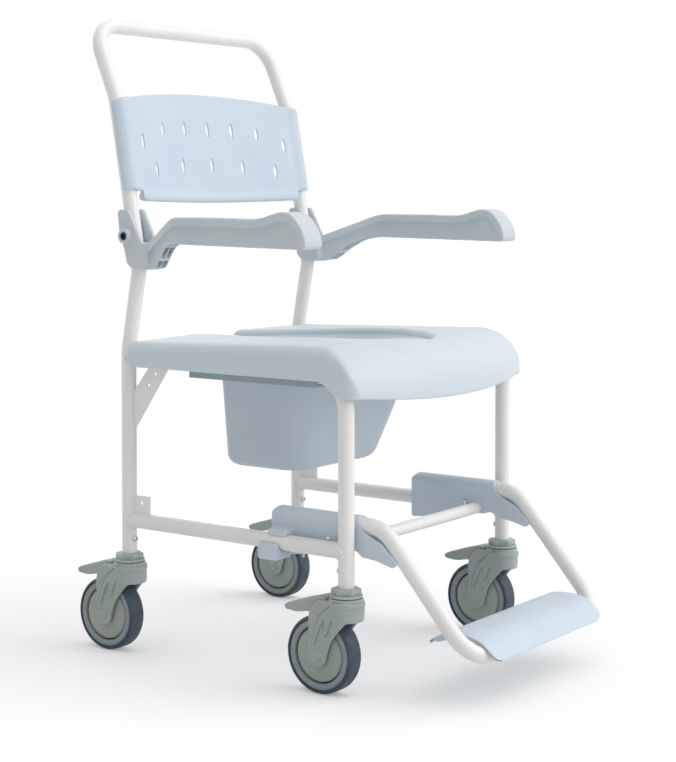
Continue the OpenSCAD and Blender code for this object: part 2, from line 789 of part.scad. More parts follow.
module armrest(side) {
    color(plastic_color) sided(side) translate([0, arm_pivot_y, arm_pivot_z]) difference() {
        union() {
            plate_x(arm_in_x, arm_in_x + cheek_t) polygon(cheek_points(cheek_shares));
            plate_x(arm_out_x - cheek_t, arm_out_x) polygon(cheek_points(cheek_shares));
            plate_x(arm_in_x, arm_out_x) polygon(cheek_points(web_shares));
            hull() {
                plate_x(arm_in_x, arm_out_x) polygon(cheek_points(ramp_foot_shares));
                plate_x(beam_x - arm_w / 2, beam_x + arm_w / 2) beam_end();
            }
            plate_x(beam_x - arm_w / 2, beam_x + arm_w / 2)
                polygon(concat(beam_top, [beam_bottom], [beam_bottom + [arm_rim, 0]],
                    backwards(moved(beam_top, arm_rim))));
            plate_x(beam_x - arm_w / 2 + arm_recess, beam_x + arm_w / 2 - arm_recess)
                polygon(concat(beam_top, [beam_bottom], [[-ramp_f, -arm_under]]));
        }
        bar_x(arm_in_x - overrun, arm_out_x + overrun, arm_bolt_d + 2 * run_fit, 0, 0);
    }
}

// Flat end of the beam that the ramp runs into
module beam_end() {
    polygon([[-ramp_f, arm_top], [-ramp_f * (1 + ramp_end_share), arm_top],
        [-ramp_f * (1 + ramp_end_share), -arm_under], [-ramp_f, -arm_under]]);
}

// Rails that carry the pan under the seat
pan_rail_rear_y = rear_y - pan_rail_inset;
pan_rail_x = pan_rail_span / 2;

module pan_rail(side) {
    sided(side) translate([0, pan_rail_rear_y, 0]) rotate([90, 0, 0]) linear_extrude(pan_rail_len)
        polygon([
            [pan_rail_x, pan_rail_z], [pan_rail_x, seat_under_z],
            [pan_rail_x - pan_lip, seat_under_z], [pan_rail_x - pan_lip, seat_under_z - pan_rail_t],
            [pan_rail_x - pan_rail_t, seat_under_z - pan_rail_t],
            [pan_rail_x - pan_rail_t, pan_rail_z + pan_rail_t],
            [pan_rail_x - pan_lip, pan_rail_z + pan_rail_t], [pan_rail_x - pan_lip, pan_rail_z]
        ]);
}

// Pan: a tub with drawn-in sides under a flat flange
pan_flange_z = pan_rail_z + pan_rail_t + pan_clear;
pan_w = pan_rail_span - 2 * (pan_lip + pan_side_gap);
pan_low_z = pan_flange_z - pan_depth;

// The tub's outer form, or its inside when it is drawn in by the wall
module pan_form(inset) {
    r = pan_corner_r - inset;
    half_w = pan_w / 2 - inset - r;
    half_len = pan_len / 2 - inset - r;
    hull($fn = hull_fn) {
        for (x = [-half_w, half_w], y = [-half_len, half_len])
            translate([x, y, pan_flange_z]) cylinder(r = r, h = inset > 0 ? pan_wall + overrun : pan_wall);
        for (x = [-1, 1], y = [pan_front_draft - half_len, half_len])
            translate([x * (half_w - pan_side_draft), y, pan_low_z + inset + r / 2]) {
                cylinder(r = r, h = r / 2);
                translate([0, 0, -r / 2]) cylinder(r1 = r / 2, r2 = r, h = r / 2);
            }
    }
}

module pan() {
    flange_w = pan_rail_span - 2 * pan_rail_t - 2 * pan_clear;
    color(plastic_color) difference() {
        union() {
            pan_form(0);
            translate([-flange_w / 2, -pan_len / 2, pan_flange_z]) cube([flange_w, pan_len, pan_wall]);
        }
        pan_form(pan_wall);
    }
}

// Footrest tube, from the rear end of one arm round the foot bar to the other
foot_points = [
    [-foot_x, foot_tail_y, foot_z], [-foot_x, foot_bend_y, foot_z], [-foot_x, foot_bar_y, foot_bar_z],
    [foot_x, foot_bar_y, foot_bar_z], [foot_x, foot_bend_y, foot_z], [foot_x, foot_tail_y, foot_z]
];
foot_radii = [foot_bend_r, foot_bend_r, foot_bend_r, foot_bend_r];

module foot_tube() {
    color(tube_color) bent_tube(foot_points, foot_radii);
}

module foot_cross_tube() {
    color(tube_color)
        straight_tube_x(foot_x - hood_r, cross_d, front_y + cross_back, lower_rail_z + cross_rise);
}

// A straight hollow tube along X, as long to the left as to the right
module straight_tube_x(half, d, y, z) {
    difference() {
        bar_x(-half, half, d, y, z);
        bar_x(-half - overrun, half + overrun, d - 2 * tube_wall, y, z);
    }
}

// Bracket that hangs the footrest on a lower rail: a hood over the tube with two hooks.
// Places are shares of the tube's length behind the legs and of the bracket's depth
bracket_low_shares = [
    [1.02, -1], [0.73, -0.78], [0.14, -0.22], [0.06, -0.22], [-0.03, 0], [-0.11, -0.4],
    [-0.28, -0.44], [-0.48, -0.72], [-0.53, -0.52], [-0.33, 0.63], [-0.13, 1.1]
];
bracket_cut_shares = [[0.47, 0.48], [0.74, -0.41], [0.4, -0.3]];
bracket_front_share = -0.05;
bracket_bolt_shares = [0.3, 0.37];
upper_hook_share = 0.83;
lower_hook_share = 0.9;
upper_reach_share = 0.65;
hook_r = tube_d / 2 + hook_clear;

function bracket_point(s) = [front_y + s[0] * foot_tail, lower_rail_z + s[1] * bracket_drop];

module bracket_outline() {
    top_z = foot_z + hood_r;
    polygon(concat(
        [for (s = bracket_low_shares) bracket_point(s)],
        [[front_y + bracket_front_share * foot_tail, top_z],
            [bracket_rear_y - hood_r / 2, top_z], [bracket_rear_y, top_z - hood_r / 2]]
    ));
}

// Cross-section of the hood, round on top, or of the space inside it
module hood_section(r, low_z) {
    translate([foot_x, foot_z]) circle(r = r);
    translate([foot_x - r, low_z]) square([2 * r, foot_z - low_z]);
}

// The hood's outline, drawn out along the tube
module hood(r, low_z, from, to) {
    translate([0, to, 0]) rotate([90, 0, 0]) linear_extrude(to - from) hood_section(r, low_z);
}

module foot_bracket(side) {
    bolt = bracket_point(bracket_bolt_shares);
    color(plastic_color) sided(side) difference() {
        union() {
            intersection() {
                plate_x(foot_x - 2 * hood_r, foot_x + 2 * hood_r) bracket_outline();
                difference() {
                    hood(hood_r, axle_z, front_y - wheelbase, rear_y);
                    hood(tube_d / 2 + hair, axle_z - overrun, front_y - wheelbase - overrun, foot_tail_y);
                }
            }
            hook_block(upper_hook_share, 0, hook_r + hook_t, hook_r * upper_reach_share);
            hook_block(lower_hook_share, -bracket_drop, 0, hook_r + hook_t);
        }
        bar_along_rail(2 * hook_r);
        plate_x(foot_x - 2 * hood_r, foot_x + 2 * hood_r)
            polygon([for (s = bracket_cut_shares) bracket_point(s)]);
        bar_x(foot_x - 2 * hood_r, foot_x + 2 * hood_r, bracket_bolt_d, bolt[0], bolt[1]);
    }
}

// Block of a hook, from the bracket's outer wall out over or under its rail
module hook_block(share, from_z, to_z, reach) {
    in_x = foot_x + (tube_d + bracket_wall) / 2;
    translate([in_x, front_y + share * foot_tail - hook_len / 2, lower_rail_z + from_z])
        cube([leg_x + reach - in_x, hook_len, to_z - from_z]);
}

module bracket_bolts() {
    head_t = bracket_bolt_d * bolt_head_t_share;
    p = bracket_point(bracket_bolt_shares);
    color(steel_color)
    for (side = [-1, 1])
        sided(side) {
            bar_x(foot_x - hood_r, foot_x + hood_r, bracket_bolt_d, p[0], p[1]);
            bar_x(foot_x - hood_r - head_t, foot_x - hood_r, bracket_bolt_d * bolt_head_share, p[0], p[1]);
        }
}

// Footplate: an arched shell with two clips round the foot bar
foot_plate_shares = [[-1, -0.14], [-0.54, 0.41], [0.04, 0.83], [0.3, 1], [0.68, 0.88], [1, 0.21]];
foot_plate_steps = 5;
clip_place_share = 0.58;
clip_fill_share = 0.56;

function foot_plate_point(s) =
    [s[0] * (s[0] < 0 ? foot_plate_front : foot_plate_rear), s[1] * foot_plate_crown];

foot_plate_line = smooth([for (s = foot_plate_shares) foot_plate_point(s)], foot_plate_steps);

module footplate() {
    clip_r = tube_d / 2 + clip_clear + foot_plate_t;
    half = foot_plate_w / 2;
    under = moved(foot_plate_line, -foot_plate_t);
    core = moved(foot_plate_line, -foot_plate_t / 2);
    fill = [for (i = [0 : floor(len(core) * clip_fill_share)]) core[i]];
    color(plastic_color) translate([0, foot_bar_y, foot_bar_z]) {
        plate_x(-half, half) polygon(concat(foot_plate_line, backwards(under)));
        for (side = [-1, 1])
            translate([side * half * clip_place_share, 0, 0]) difference() {
                union() {
                    bar_x(-clip_w / 2, clip_w / 2, 2 * clip_r, 0, 0);
                    plate_x(-clip_w / 2, clip_w / 2) polygon(concat(fill, [[clip_r, 0], [-clip_r, 0]]));
                }
                bar_x(-clip_w, clip_w, tube_d + 2 * clip_clear, 0, 0);
            }
    }
}

// Casters, drawn about their swivel axes with the wheel trailing to the rear
module at_caster(side, end) {
    translate([side * leg_x, end * rear_y, 0]) children();
}

cheek_in_x = tyre_w / 2 + fork_gap;
cheek_out_x = cheek_in_x + fork_t;
boss_r = 2 * axle_d;
pin_wall_share = 0.15;

module collar() {
    color(caster_color) {
        translate([0, 0, head_z + head_h * pin_wall_share + swivel_gap])
            cylinder(d = kingpin_d, h = flange_z - head_z - head_h * pin_wall_share - swivel_gap);
        translate([0, 0, flange_z]) cylinder(d = head_d - 3 * swivel_gap, h = flange_h);
        translate([0, 0, flange_z + flange_h]) cylinder(d = hex_d, h = hex_h, $fn = 6);
        translate([0, 0, leg_foot_z]) cylinder(d = bore_d, h = stem_len);
    }
}

// Outline of a fork cheek, from the axle's boss up to the head
cheek_top_shares = [[0.96, -0.1], [0.7, 0.75], [-0.28, 0.75], [-0.45, -0.1]];
cheek_pull_shares = [0.3, -0.75];

function head_point(s) = [s[0] * (trail + boss_r), head_z + s[1] * head_h];

module fork_outline() {
    boss = [trail, axle_z];
    front = head_point(cheek_top_shares[3]);
    pull = [cheek_pull_shares[0] * trail, head_z + cheek_pull_shares[1] * head_h];
    polygon(concat(
        arc(boss, boss_r, 180, 360, 16),
        [for (i = [0 : 2]) head_point(cheek_top_shares[i])],
        curve(front, pull, [trail - boss_r, axle_z], 8)
    ));
}

// Place of the pedal's pin behind and above the wheel
pedal_pin_y = head_d / 2 + 3 * pedal_pin_d / 2;
pedal_pin_z = head_z + head_h / 2;

module fork() {
    color(caster_color) difference() {
        union() {
            translate([0, 0, head_z]) cylinder(d = head_d, h = head_h);
            plate_x(cheek_in_x, cheek_out_x) fork_outline();
            plate_x(-cheek_out_x, -cheek_in_x) fork_outline();
        }
        translate([0, 0, head_z + head_h * pin_wall_share])
            cylinder(d = kingpin_d + 2 * run_fit, h = head_h);
        bar_x(-2 * cheek_out_x, 2 * cheek_out_x, axle_d, trail, axle_z);
        bar_x(-2 * cheek_out_x, 2 * cheek_out_x, pedal_pin_d + 2 * run_fit, pedal_pin_y, pedal_pin_z);
    }
}

module axle() {
    cap_t = axle_d * pin_wall_share;
    color(steel_color) {
        bar_x(-cheek_out_x, cheek_out_x, axle_d, trail, axle_z);
        bar_x(cheek_out_x, cheek_out_x + cap_t, 2 * axle_d, trail, axle_z);
        bar_x(-cheek_out_x - cap_t, -cheek_out_x, 2 * axle_d, trail, axle_z);
    }
}

// Brake pedal: a lever on a pin between the fork's cheeks
pedal_shares = [
    [0.03, 0.22], [0.02, 0.89], [0.13, 0.89], [0.37, 0.69], [0.58, 0.54], [0.79, 0.33], [0.93, 0.22],
    [1, 0.07], [1, -0.07], [0.96, -0.2], [0.73, -0.19], [0.59, -0.13], [0.47, -0.03], [0.3, 0],
    [0.12, 0.2]
];
pedal_tip_share = 0.62;

module pedal() {
    from_y = head_d / 2 + swivel_gap;
    length = pedal_reach - from_y;
    waist_y = trail + boss_r;
    pin_len = cheek_out_x;
    color(caster_color) {
        intersection() {
            plate_x(-pedal_w, pedal_w)
                polygon([for (s = pedal_shares) [from_y + s[0] * length, head_z + s[1] * head_h]]);
            translate([0, 0, axle_z]) linear_extrude(2 * wheel_d) polygon([
                [pedal_w / 2, 0], [pedal_w / 2, waist_y], [pedal_w * pedal_tip_share / 2, pedal_reach],
                [-pedal_w * pedal_tip_share / 2, pedal_reach], [-pedal_w / 2, waist_y], [-pedal_w / 2, 0]
            ]);
        }
        bar_x(-pin_len, pin_len, pedal_pin_d, pedal_pin_y, pedal_pin_z);
    }
}

// Wheel: a hub with a dished disc and a rim, and a tyre round it
hub_shares = [0.2, 0.7, 0.735];
hub_width_shares = [0.7, 0.5, 0.88];
side_play = 0.5;

module turned_x() {
    translate([0, trail, axle_z]) rotate([0, 90, 0]) rotate_extrude() children();
}

module hub() {
    r = wheel_d / 2;
    in_r = axle_d / 2 + run_fit;
    seat_r = r - tyre_t;
    half = cheek_in_x - side_play;
    disc = hub_width_shares[0] * tyre_w / 2;
    slot = hub_width_shares[1] * tyre_w / 2;
    rim = hub_width_shares[2] * tyre_w / 2;
    right = [[in_r, half], [hub_shares[0] * r, half], [hub_shares[0] * r, disc], [hub_shares[1] * r, disc],
        [hub_shares[1] * r, slot], [hub_shares[2] * r, slot], [hub_shares[2] * r, rim], [seat_r, rim]];
    color(disc_color) turned_x()
        polygon(concat(right, [for (i = [len(right) - 1 : -1 : 0]) [right[i][0], -right[i][1]]]));
}

shoulder_share = 0.95;

module tyre() {
    r = wheel_d / 2;
    in_r = r - tyre_t;
    turn_r = tyre_t * shoulder_share;
    half = tyre_w / 2;
    color(tyre_color) turned_x() polygon(concat(
        [[in_r, -half]],
        arc([r - turn_r, turn_r - half], turn_r, -90, 0, 6),
        arc([r - turn_r, half - turn_r], turn_r, 0, 90, 6),
        [[in_r, half]]
    ));
}

module rear_leg_right() { color(tube_color) rear_leg(-1); }
module rear_leg_left() { color(tube_color) rear_leg(1); }
module side_tube_right() { color(tube_color) side_tube(-1); }
module side_tube_left() { color(tube_color) side_tube(1); }
module lower_rail_right() { color(tube_color) lower_rail(-1); }
module lower_rail_left() { color(tube_color) lower_rail(1); }
module front_cross_tube() { color(tube_color) seat_cross_tube(front_y + front_cross_inset); }
module rear_cross_tube() { color(tube_color) seat_cross_tube(rear_y - rear_cross_inset); }
module gusset_right() { color(tube_color) gusset(-1); }
module gusset_left() { color(tube_color) gusset(1); }
module rail_tab_right() { color(tube_color) rail_tab(-1); }
module rail_tab_left() { color(tube_color) rail_tab(1); }
module arm_bolt_right() { color(steel_color) arm_bolt(-1); }
module arm_bolt_left() { color(steel_color) arm_bolt(1); }
module armrest_right() { armrest(-1); }
module armrest_left() { armrest(1); }
module pan_rail_right() { color(plastic_color) pan_rail(-1); }
module pan_rail_left() { color(plastic_color) pan_rail(1); }
module foot_bracket_right() { foot_bracket(-1); }
module foot_bracket_left() { foot_bracket(1); }
module collar_front_right() { at_caster(-1, -1) collar(); }
module fork_front_right() { at_caster(-1, -1) fork(); }
module pedal_front_right() { at_caster(-1, -1) pedal(); }
module axle_front_right() { at_caster(-1, -1) axle(); }
module hub_front_right() { at_caster(-1, -1) hub(); }
module tyre_front_right() { at_caster(-1, -1) tyre(); }
module collar_front_left() { at_caster(1, -1) collar(); }
module fork_front_left() { at_caster(1, -1) fork(); }
module pedal_front_left() { at_caster(1, -1) pedal(); }
module axle_front_left() { at_caster(1, -1) axle(); }
module hub_front_left() { at_caster(1, -1) hub(); }
module tyre_front_left() { at_caster(1, -1) tyre(); }
module collar_rear_right() { at_caster(-1, 1) collar(); }
module fork_rear_right() { at_caster(-1, 1) fork(); }
module pedal_rear_right() { at_caster(-1, 1) pedal(); }
module axle_rear_right() { at_caster(-1, 1) axle(); }
module hub_rear_right() { at_caster(-1, 1) hub(); }
module tyre_rear_right() { at_caster(-1, 1) tyre(); }
module collar_rear_left() { at_caster(1, 1) collar(); }
module fork_rear_left() { at_caster(1, 1) fork(); }
module pedal_rear_left() { at_caster(1, 1) pedal(); }
module axle_rear_left() { at_caster(1, 1) axle(); }
module hub_rear_left() { at_caster(1, 1) hub(); }
module tyre_rear_left() { at_caster(1, 1) tyre(); }

placed() rear_leg_right();
placed() rear_leg_left();
placed() push_handle();
placed() side_tube_right();
placed() side_tube_left();
placed() lower_rail_right();
placed() lower_rail_left();
placed() front_cross_tube();
placed() rear_cross_tube();
placed() gusset_right();
placed() gusset_left();
placed() rail_tab_right();
placed() rail_tab_left();
placed() stem_screws();
placed() seat();
placed() backrest();
placed() arm_bolt_right();
placed() arm_bolt_left();
placed() armrest_right();
placed() armrest_left();
placed() pan_rail_right();
placed() pan_rail_left();
placed() pan();
placed() foot_bracket_right();
placed() foot_bracket_left();
placed() foot_tube();
placed() foot_cross_tube();
placed() bracket_bolts();
placed() footplate();
placed() collar_front_right();
placed() fork_front_right();
placed() pedal_front_right();
placed() axle_front_right();
placed() hub_front_right();
placed() tyre_front_right();
placed() collar_front_left();
placed() fork_front_left();
placed() pedal_front_left();
placed() axle_front_left();
placed() hub_front_left();
placed() tyre_front_left();
placed() collar_rear_right();
placed() fork_rear_right();
placed() pedal_rear_right();
placed() axle_rear_right();
placed() hub_rear_right();
placed() tyre_rear_right();
placed() collar_rear_left();
placed() fork_rear_left();
placed() pedal_rear_left();
placed() axle_rear_left();
placed() hub_rear_left();
placed() tyre_rear_left();
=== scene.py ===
"""A shower commode chair on four braked casters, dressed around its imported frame.

Lengths are in millimetres until a mesh is made. X is the width, the chair faces -Y and Z is up.
Places along Y are counted from the middle of the wheelbase, and every mesh is moved to the frame's
own origin as it is made.
"""

import logging
import math
from dataclasses import dataclass
from enum import Enum
from itertools import product
from typing import Sequence

import bpy
import numpy as np
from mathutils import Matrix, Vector


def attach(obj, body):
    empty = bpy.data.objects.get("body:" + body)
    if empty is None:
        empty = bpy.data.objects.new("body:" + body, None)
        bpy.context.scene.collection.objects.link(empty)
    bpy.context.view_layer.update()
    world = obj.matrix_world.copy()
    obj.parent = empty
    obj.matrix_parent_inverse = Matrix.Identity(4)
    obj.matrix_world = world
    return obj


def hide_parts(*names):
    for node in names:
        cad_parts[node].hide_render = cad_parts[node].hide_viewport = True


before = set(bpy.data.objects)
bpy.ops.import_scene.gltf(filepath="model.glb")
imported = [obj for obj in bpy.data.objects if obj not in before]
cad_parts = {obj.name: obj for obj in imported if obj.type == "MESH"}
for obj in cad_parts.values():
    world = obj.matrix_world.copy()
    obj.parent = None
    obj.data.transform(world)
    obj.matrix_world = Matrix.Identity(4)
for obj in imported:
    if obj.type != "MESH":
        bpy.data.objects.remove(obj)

LOG = logging.getLogger("chair")
MM = 0.001
SHIFT_Y = 59.0
Array = np.ndarray
Point = Sequence[float]
Bytes = tuple[int, int, int]

# Sizes that several sub-assemblies share, in millimetres; pairs are places along Y and Z.
TUBE_R = 12.5
LEG_X, LEG_Y = 232.0, 223.0
WAIST, SHOULDER = (198.0, 645.0), (249.5, 927.0)
FOOT_BAR = (-425.0, 79.0)
LOWER_Z = 223.0
# A direction that no turned piece has for its axis.
ASKEW = (0.3, 0.5, 0.8)
# The most of a leg that the rounding of one corner may take.
CORNER_ROOM = 0.48
# A distance that stands for well inside a solid, where the solid sets no limit.
INSIDE = -9.0


class Side(Enum):
    """The two sides of the chair, with the sign of X on each."""

    RIGHT = -1
    LEFT = 1

    @property
    def word(self) -> str:
        """The side as the frame's names give it."""
        return self.name.lower()


class End(Enum):
    """The two ends of the wheelbase, with the sign of Y at each."""

    FRONT = -1
    REAR = 1


# Curves and surfaces


def unit(v: Array) -> Array:
    """Vectors scaled to a length of one along the last axis."""
    return v / np.linalg.norm(v, axis=-1, keepdims=True)


def ease(t: Array) -> Array:
    """A smooth rise from 0 to 1, level at both ends: three times t squared less twice t cubed."""
    t = np.clip(t, 0.0, 1.0)
    return t * t * (3.0 - 2.0 * t)


def rounded_path(points: Sequence[Point], radii: Sequence[float], steps: int = 14) -> Array:
    """A path with its corners turned into arcs.

    Each arc touches both legs of its corner. Its centre lies on the bisector, its radius over the
    sine of half the corner's angle away from the corner.

    Args:
        points: Corners of the path with its two ends.
        radii: One bend radius for each inner corner.
        steps: Number of steps in each arc.

    Returns:
        The points of the rounded path.
    """
    p = np.asarray(points, float)
    out = [p[:1]]
    for a, c, b, r in zip(p[:-2], p[1:-1], p[2:], radii):
        u, v = unit(a - c), unit(b - c)
        half = 0.5 * math.acos(float(np.clip(u @ v, -1.0, 1.0)))
        start = c + u * r / math.tan(half)
        centre = c + unit(u + v) * r / math.sin(half)
        turn = np.linspace(0.0, math.pi - 2.0 * half, steps + 1)[:, None]
        out.append(centre + r * (np.cos(turn) * unit(start - centre) - np.sin(turn) * u))
    out.append(p[-1:])
    return np.concatenate(out)


def smooth_line(points: Sequence[Point], steps: int) -> Array:
    """A smooth curve through points, by the cubic that takes its slopes from both neighbours."""
    p = np.asarray(points, float)
    q = np.concatenate([2 * p[:1] - p[1:2], p, 2 * p[-1:] - p[-2:-1]])
    t = np.linspace(0.0, 1.0, steps, endpoint=False)[None, :, None]
    a, b, c, d = (q[i:len(q) - 3 + i, None, :] for i in range(4))
    curve = 0.5 * (2 * b + (c - a) * t + (2 * a - 5 * b + 4 * c - d) * t ** 2
                   + (3 * b - a - 3 * c + d) * t ** 3)
    return np.concatenate([curve.reshape(-1, p.shape[1]), p[-1:]])


def grid_quads(rows: int, columns: int, wrapped: bool = False) -> Array:
    """Four-sided faces over closed rows of points, the last row joined to the first if wrapped."""
    r = np.arange(rows if wrapped else rows - 1)[:, None]
    c = np.arange(columns)[None, :]
    r2, c2 = (r + 1) % rows, (c + 1) % columns
    quad = [r * columns + c, r * columns + c2, r2 * columns + c2, r2 * columns + c]
    return np.stack(np.broadcast_arrays(*quad), axis=-1).reshape(-1, 4)


@dataclass
class Surface:
    """Points with groups of faces, each group an array with one face a row."""

    points: Array
    faces: list[Array]

    def mirrored(self, side: Side) -> "Surface":
        """The surface of the left side, carried over to the side given, with its faces outward."""
        if side is Side.LEFT:
            return self
        return Surface(self.points * [-1.0, 1.0, 1.0], [f[:, ::-1] for f in self.faces])

    def outward(self) -> "Surface":
        """The closed surface with its faces turned to look out.

        The volume that the faces enclose is a sixth of the sum, over the triangles that fan out
        from each face's first corner, of that corner times the cross product of the other two. It
        is below zero where the faces look in.

        Returns:
            The surface itself, or the same with every face reversed.
        """
        volume = 0.0
        for group in self.faces:
            corners = self.points[group]
            volume += float(np.sum(corners[:, :1] * np.cross(corners[:, 1:-1], corners[:, 2:])))
        return self if volume >= 0.0 else Surface(self.points, [f[:, ::-1] for f in self.faces])

    def moved(self, by: Point) -> "Surface":
        """The surface moved by a vector."""
        return Surface(self.points + np.asarray(by, float), self.faces)


def joined(parts: Sequence[Surface]) -> Surface:
    """Several surfaces as one."""
    starts = np.cumsum([0] + [len(part.points) for part in parts])
    faces = [group + start for part, start in zip(parts, starts) for group in part.faces]
    return Surface(np.concatenate([part.points for part in parts]), faces)


def lofted(rings: Array) -> Surface:
    """A skin over rings that all have the same number of points, closed by flat ends.

    Args:
        rings: Points in the shape of rings by points by three.

    Returns:
        The skin, with its faces outward.
    """
    rows, columns = rings.shape[:2]
    ring = np.arange(columns)[None]
    faces = [grid_quads(rows, columns), ring[:, ::-1], ring + (rows - 1) * columns]
    return Surface(rings.reshape(-1, 3), faces).outward()


def swept(path: Array, radius: float | Array, across: Point, sides: int = 40) -> Surface:
    """A round tube along a path: each point carries a circle square to the path there.

    Args:
        path: Points of the path.
        radius: Radius of the tube, one value or one for each point.
        across: A direction that the path never follows, from which the circles start.
        sides: Number of sides of the circle.

    Returns:
        The tube with flat ends.
    """
    along, start = unit(np.gradient(path, axis=0)), np.asarray(across, float)
    one = unit(start - (along @ start)[:, None] * along)
    two = np.cross(along, one)
    turn = np.linspace(0.0, 2.0 * math.pi, sides, endpoint=False)[None, :, None]
    r = np.broadcast_to(np.asarray(radius, float), len(path))[:, None, None]
    return lofted(path[:, None] + r * (np.cos(turn) * one[:, None] + np.sin(turn) * two[:, None]))


def turned(profile: Sequence[Point], centre: Point, axis: Point, sides: int) -> Surface:
    """A turned piece: a profile of radius and height is carried round an axis.

    Args:
        profile: Radius and height of each point, with the solid on the axis side.
        centre: A point on the axis, at height zero.
        axis: Direction in which heights are counted.
        sides: Number of steps round the axis.

    Returns:
        The turned surface with flat ends.
    """
    p = np.asarray(profile, float)
    up = unit(np.asarray(axis, float))
    one = unit(np.cross(up, ASKEW))
    two = np.cross(up, one)
    turn = np.linspace(0.0, 2.0 * math.pi, sides, endpoint=False)[None, :, None]
    ring = np.cos(turn) * one + np.sin(turn) * two
    rings = np.asarray(centre, float) + p[:, 1, None, None] * up + p[:, 0, None, None] * ring
    return lofted(rings)


def ring_turned(profile: Sequence[Point], centre: Point, axis: Point, sides: int = 96) -> Surface:
    """A turned ring: a closed profile of radius and height is carried round an axis."""
    whole = turned(profile, centre, axis, sides)
    return Surface(whole.points, [grid_quads(len(profile), sides, True)]).outward()


def round_corners(points: Sequence[Point], radius: float, steps: int) -> Array:
    """A closed flat outline with its corners rounded.

    Each corner becomes a parabola that touches both legs where an arc of the radius would.

    Args:
        points: Corners of the outline.
        radius: Radius of the arc, held to what the shorter leg of a corner allows.
        steps: Number of steps in each corner.

    Returns:
        The points of the rounded outline.
    """
    p = np.asarray(points, float)
    before, after = np.roll(p, 1, axis=0) - p, np.roll(p, -1, axis=0) - p
    u, v = unit(before), unit(after)
    half = 0.5 * np.arccos(np.clip(np.sum(u * v, axis=1), -1.0, 1.0))
    legs = [np.linalg.norm(leg, axis=1) for leg in (before, after)]
    take = np.minimum(radius / np.tan(half), CORNER_ROOM * np.minimum(*legs))[:, None]
    t = np.linspace(0.0, 1.0, steps + 1)[None, :, None]
    a, b, c = (p + u * take)[:, None], (p + v * take)[:, None], p[:, None]
    return ((1 - t) ** 2 * a + 2 * t * (1 - t) * c + t ** 2 * b).reshape(-1, 2)


# Moulded solids: signed distances on a lattice


@dataclass(frozen=True)
class Lattice:
    """A box of sample points, on which a moulded solid is written as a field of distances."""

    low: Point
    high: Point
    step: Point

    def axes(self) -> tuple[Array, Array, Array]:
        """Coordinates along X, Y and Z, each shaped to spread over the lattice."""
        x, y, z = (np.arange(a, b + s, s) for a, b, s in zip(self.low, self.high, self.step))
        return x[:, None, None], y[None, :, None], z[None, None, :]

    def skin(self, values: Array) -> Surface:
        """The surface where a field is zero, with one point in each cell that it crosses.

        The point is the mean of the places where the surface cuts the cell's edges, found by
        straight interpolation, and each cut edge of the lattice gives one face.

        Args:
            values: Distances on the lattice, below zero inside the solid.

        Returns:
            The closed surface.
        """
        inside = values < 0.0
        size = np.array(values.shape) - 1
        corners = np.array(list(product((0, 1), repeat=3)))
        count = sum(inside[i:size[0] + i, j:size[1] + j, k:size[2] + k].astype(np.int8)
                    for i, j, k in corners)
        active = (count > 0) & (count < 8)
        index = np.full(active.shape, -1)
        cells = np.argwhere(active)
        index[active] = np.arange(len(cells))
        total, hits = np.zeros((len(cells), 3)), np.zeros((len(cells), 1))
        for a in corners:
            for b in corners[np.abs(corners - a).sum(axis=1) == 1]:
                fa = values[tuple((cells + a).T)]
                fb = values[tuple((cells + b).T)]
                cut = ((fa < 0.0) & (fb >= 0.0))[:, None]
                share = np.where(cut[:, 0], fa / np.where(fa == fb, 1.0, fa - fb), 0.0)[:, None]
                total += cut * (a + share * (b - a))
                hits += cut
        points = np.asarray(self.low) + np.asarray(self.step) * (cells + total / hits)
        faces = []
        for axis in range(3):
            s, t = (np.eye(3, dtype=int)[(axis + k) % 3] for k in (1, 2))
            first = np.take(inside, range(size[axis]), axis)
            second = np.take(inside, range(1, size[axis] + 1), axis)
            for edge, flip in ((first & ~second, False), (second & ~first, True)):
                at = np.argwhere(edge)
                around = [at - s - t, at - t, at, at - s]
                quad = np.stack([index[tuple(c.T)] for c in around], axis=1)
                faces.append(quad[:, ::-1] if flip else quad)
        return Surface(points, faces).outward()


def union(a: Array, b: Array, blend: float) -> Array:
    """Two solids in one, with a fillet about as wide as the blend where they meet."""
    h = np.clip(0.5 + 0.5 * (b - a) / blend, 0.0, 1.0)
    return b + (a - b) * h - blend * h * (1.0 - h)


def cut(a: Array, b: Array, blend: float) -> Array:
    """The first solid with the second taken out of it, its edges eased by the blend."""
    return -union(-a, b, blend)


def common(a: Array, b: Array, blend: float) -> Array:
    """What two solids share, its edges eased by the blend."""
    return -union(-a, -b, blend)


def slab(t: Array, low: float | Array, high: float | Array) -> Array:
    """Distance to the space between two parallel planes."""
    return np.abs(t - 0.5 * (low + high)) - 0.5 * (high - low)


def prism(flat: Array, thick: Array, edge: float) -> Array:
    """A flat shape given a thickness, with rounded edges, from its two distances."""
    p, q = flat + edge, thick + edge
    beyond = np.hypot(np.maximum(p, 0.0), np.maximum(q, 0.0))
    return np.minimum(np.maximum(p, q), 0.0) + beyond - edge


def squared(a: Point, b: Point, u: Array, v: Array) -> Array:
    """Square of the distance from samples to the straight piece between two flat points."""
    (ax, ay), (bx, by) = a, b
    ex, ey = bx - ax, by - ay
    share = np.clip(((u - ax) * ex + (v - ay) * ey) / (ex * ex + ey * ey), 0.0, 1.0)
    return (u - ax - share * ex) ** 2 + (v - ay - share * ey) ** 2


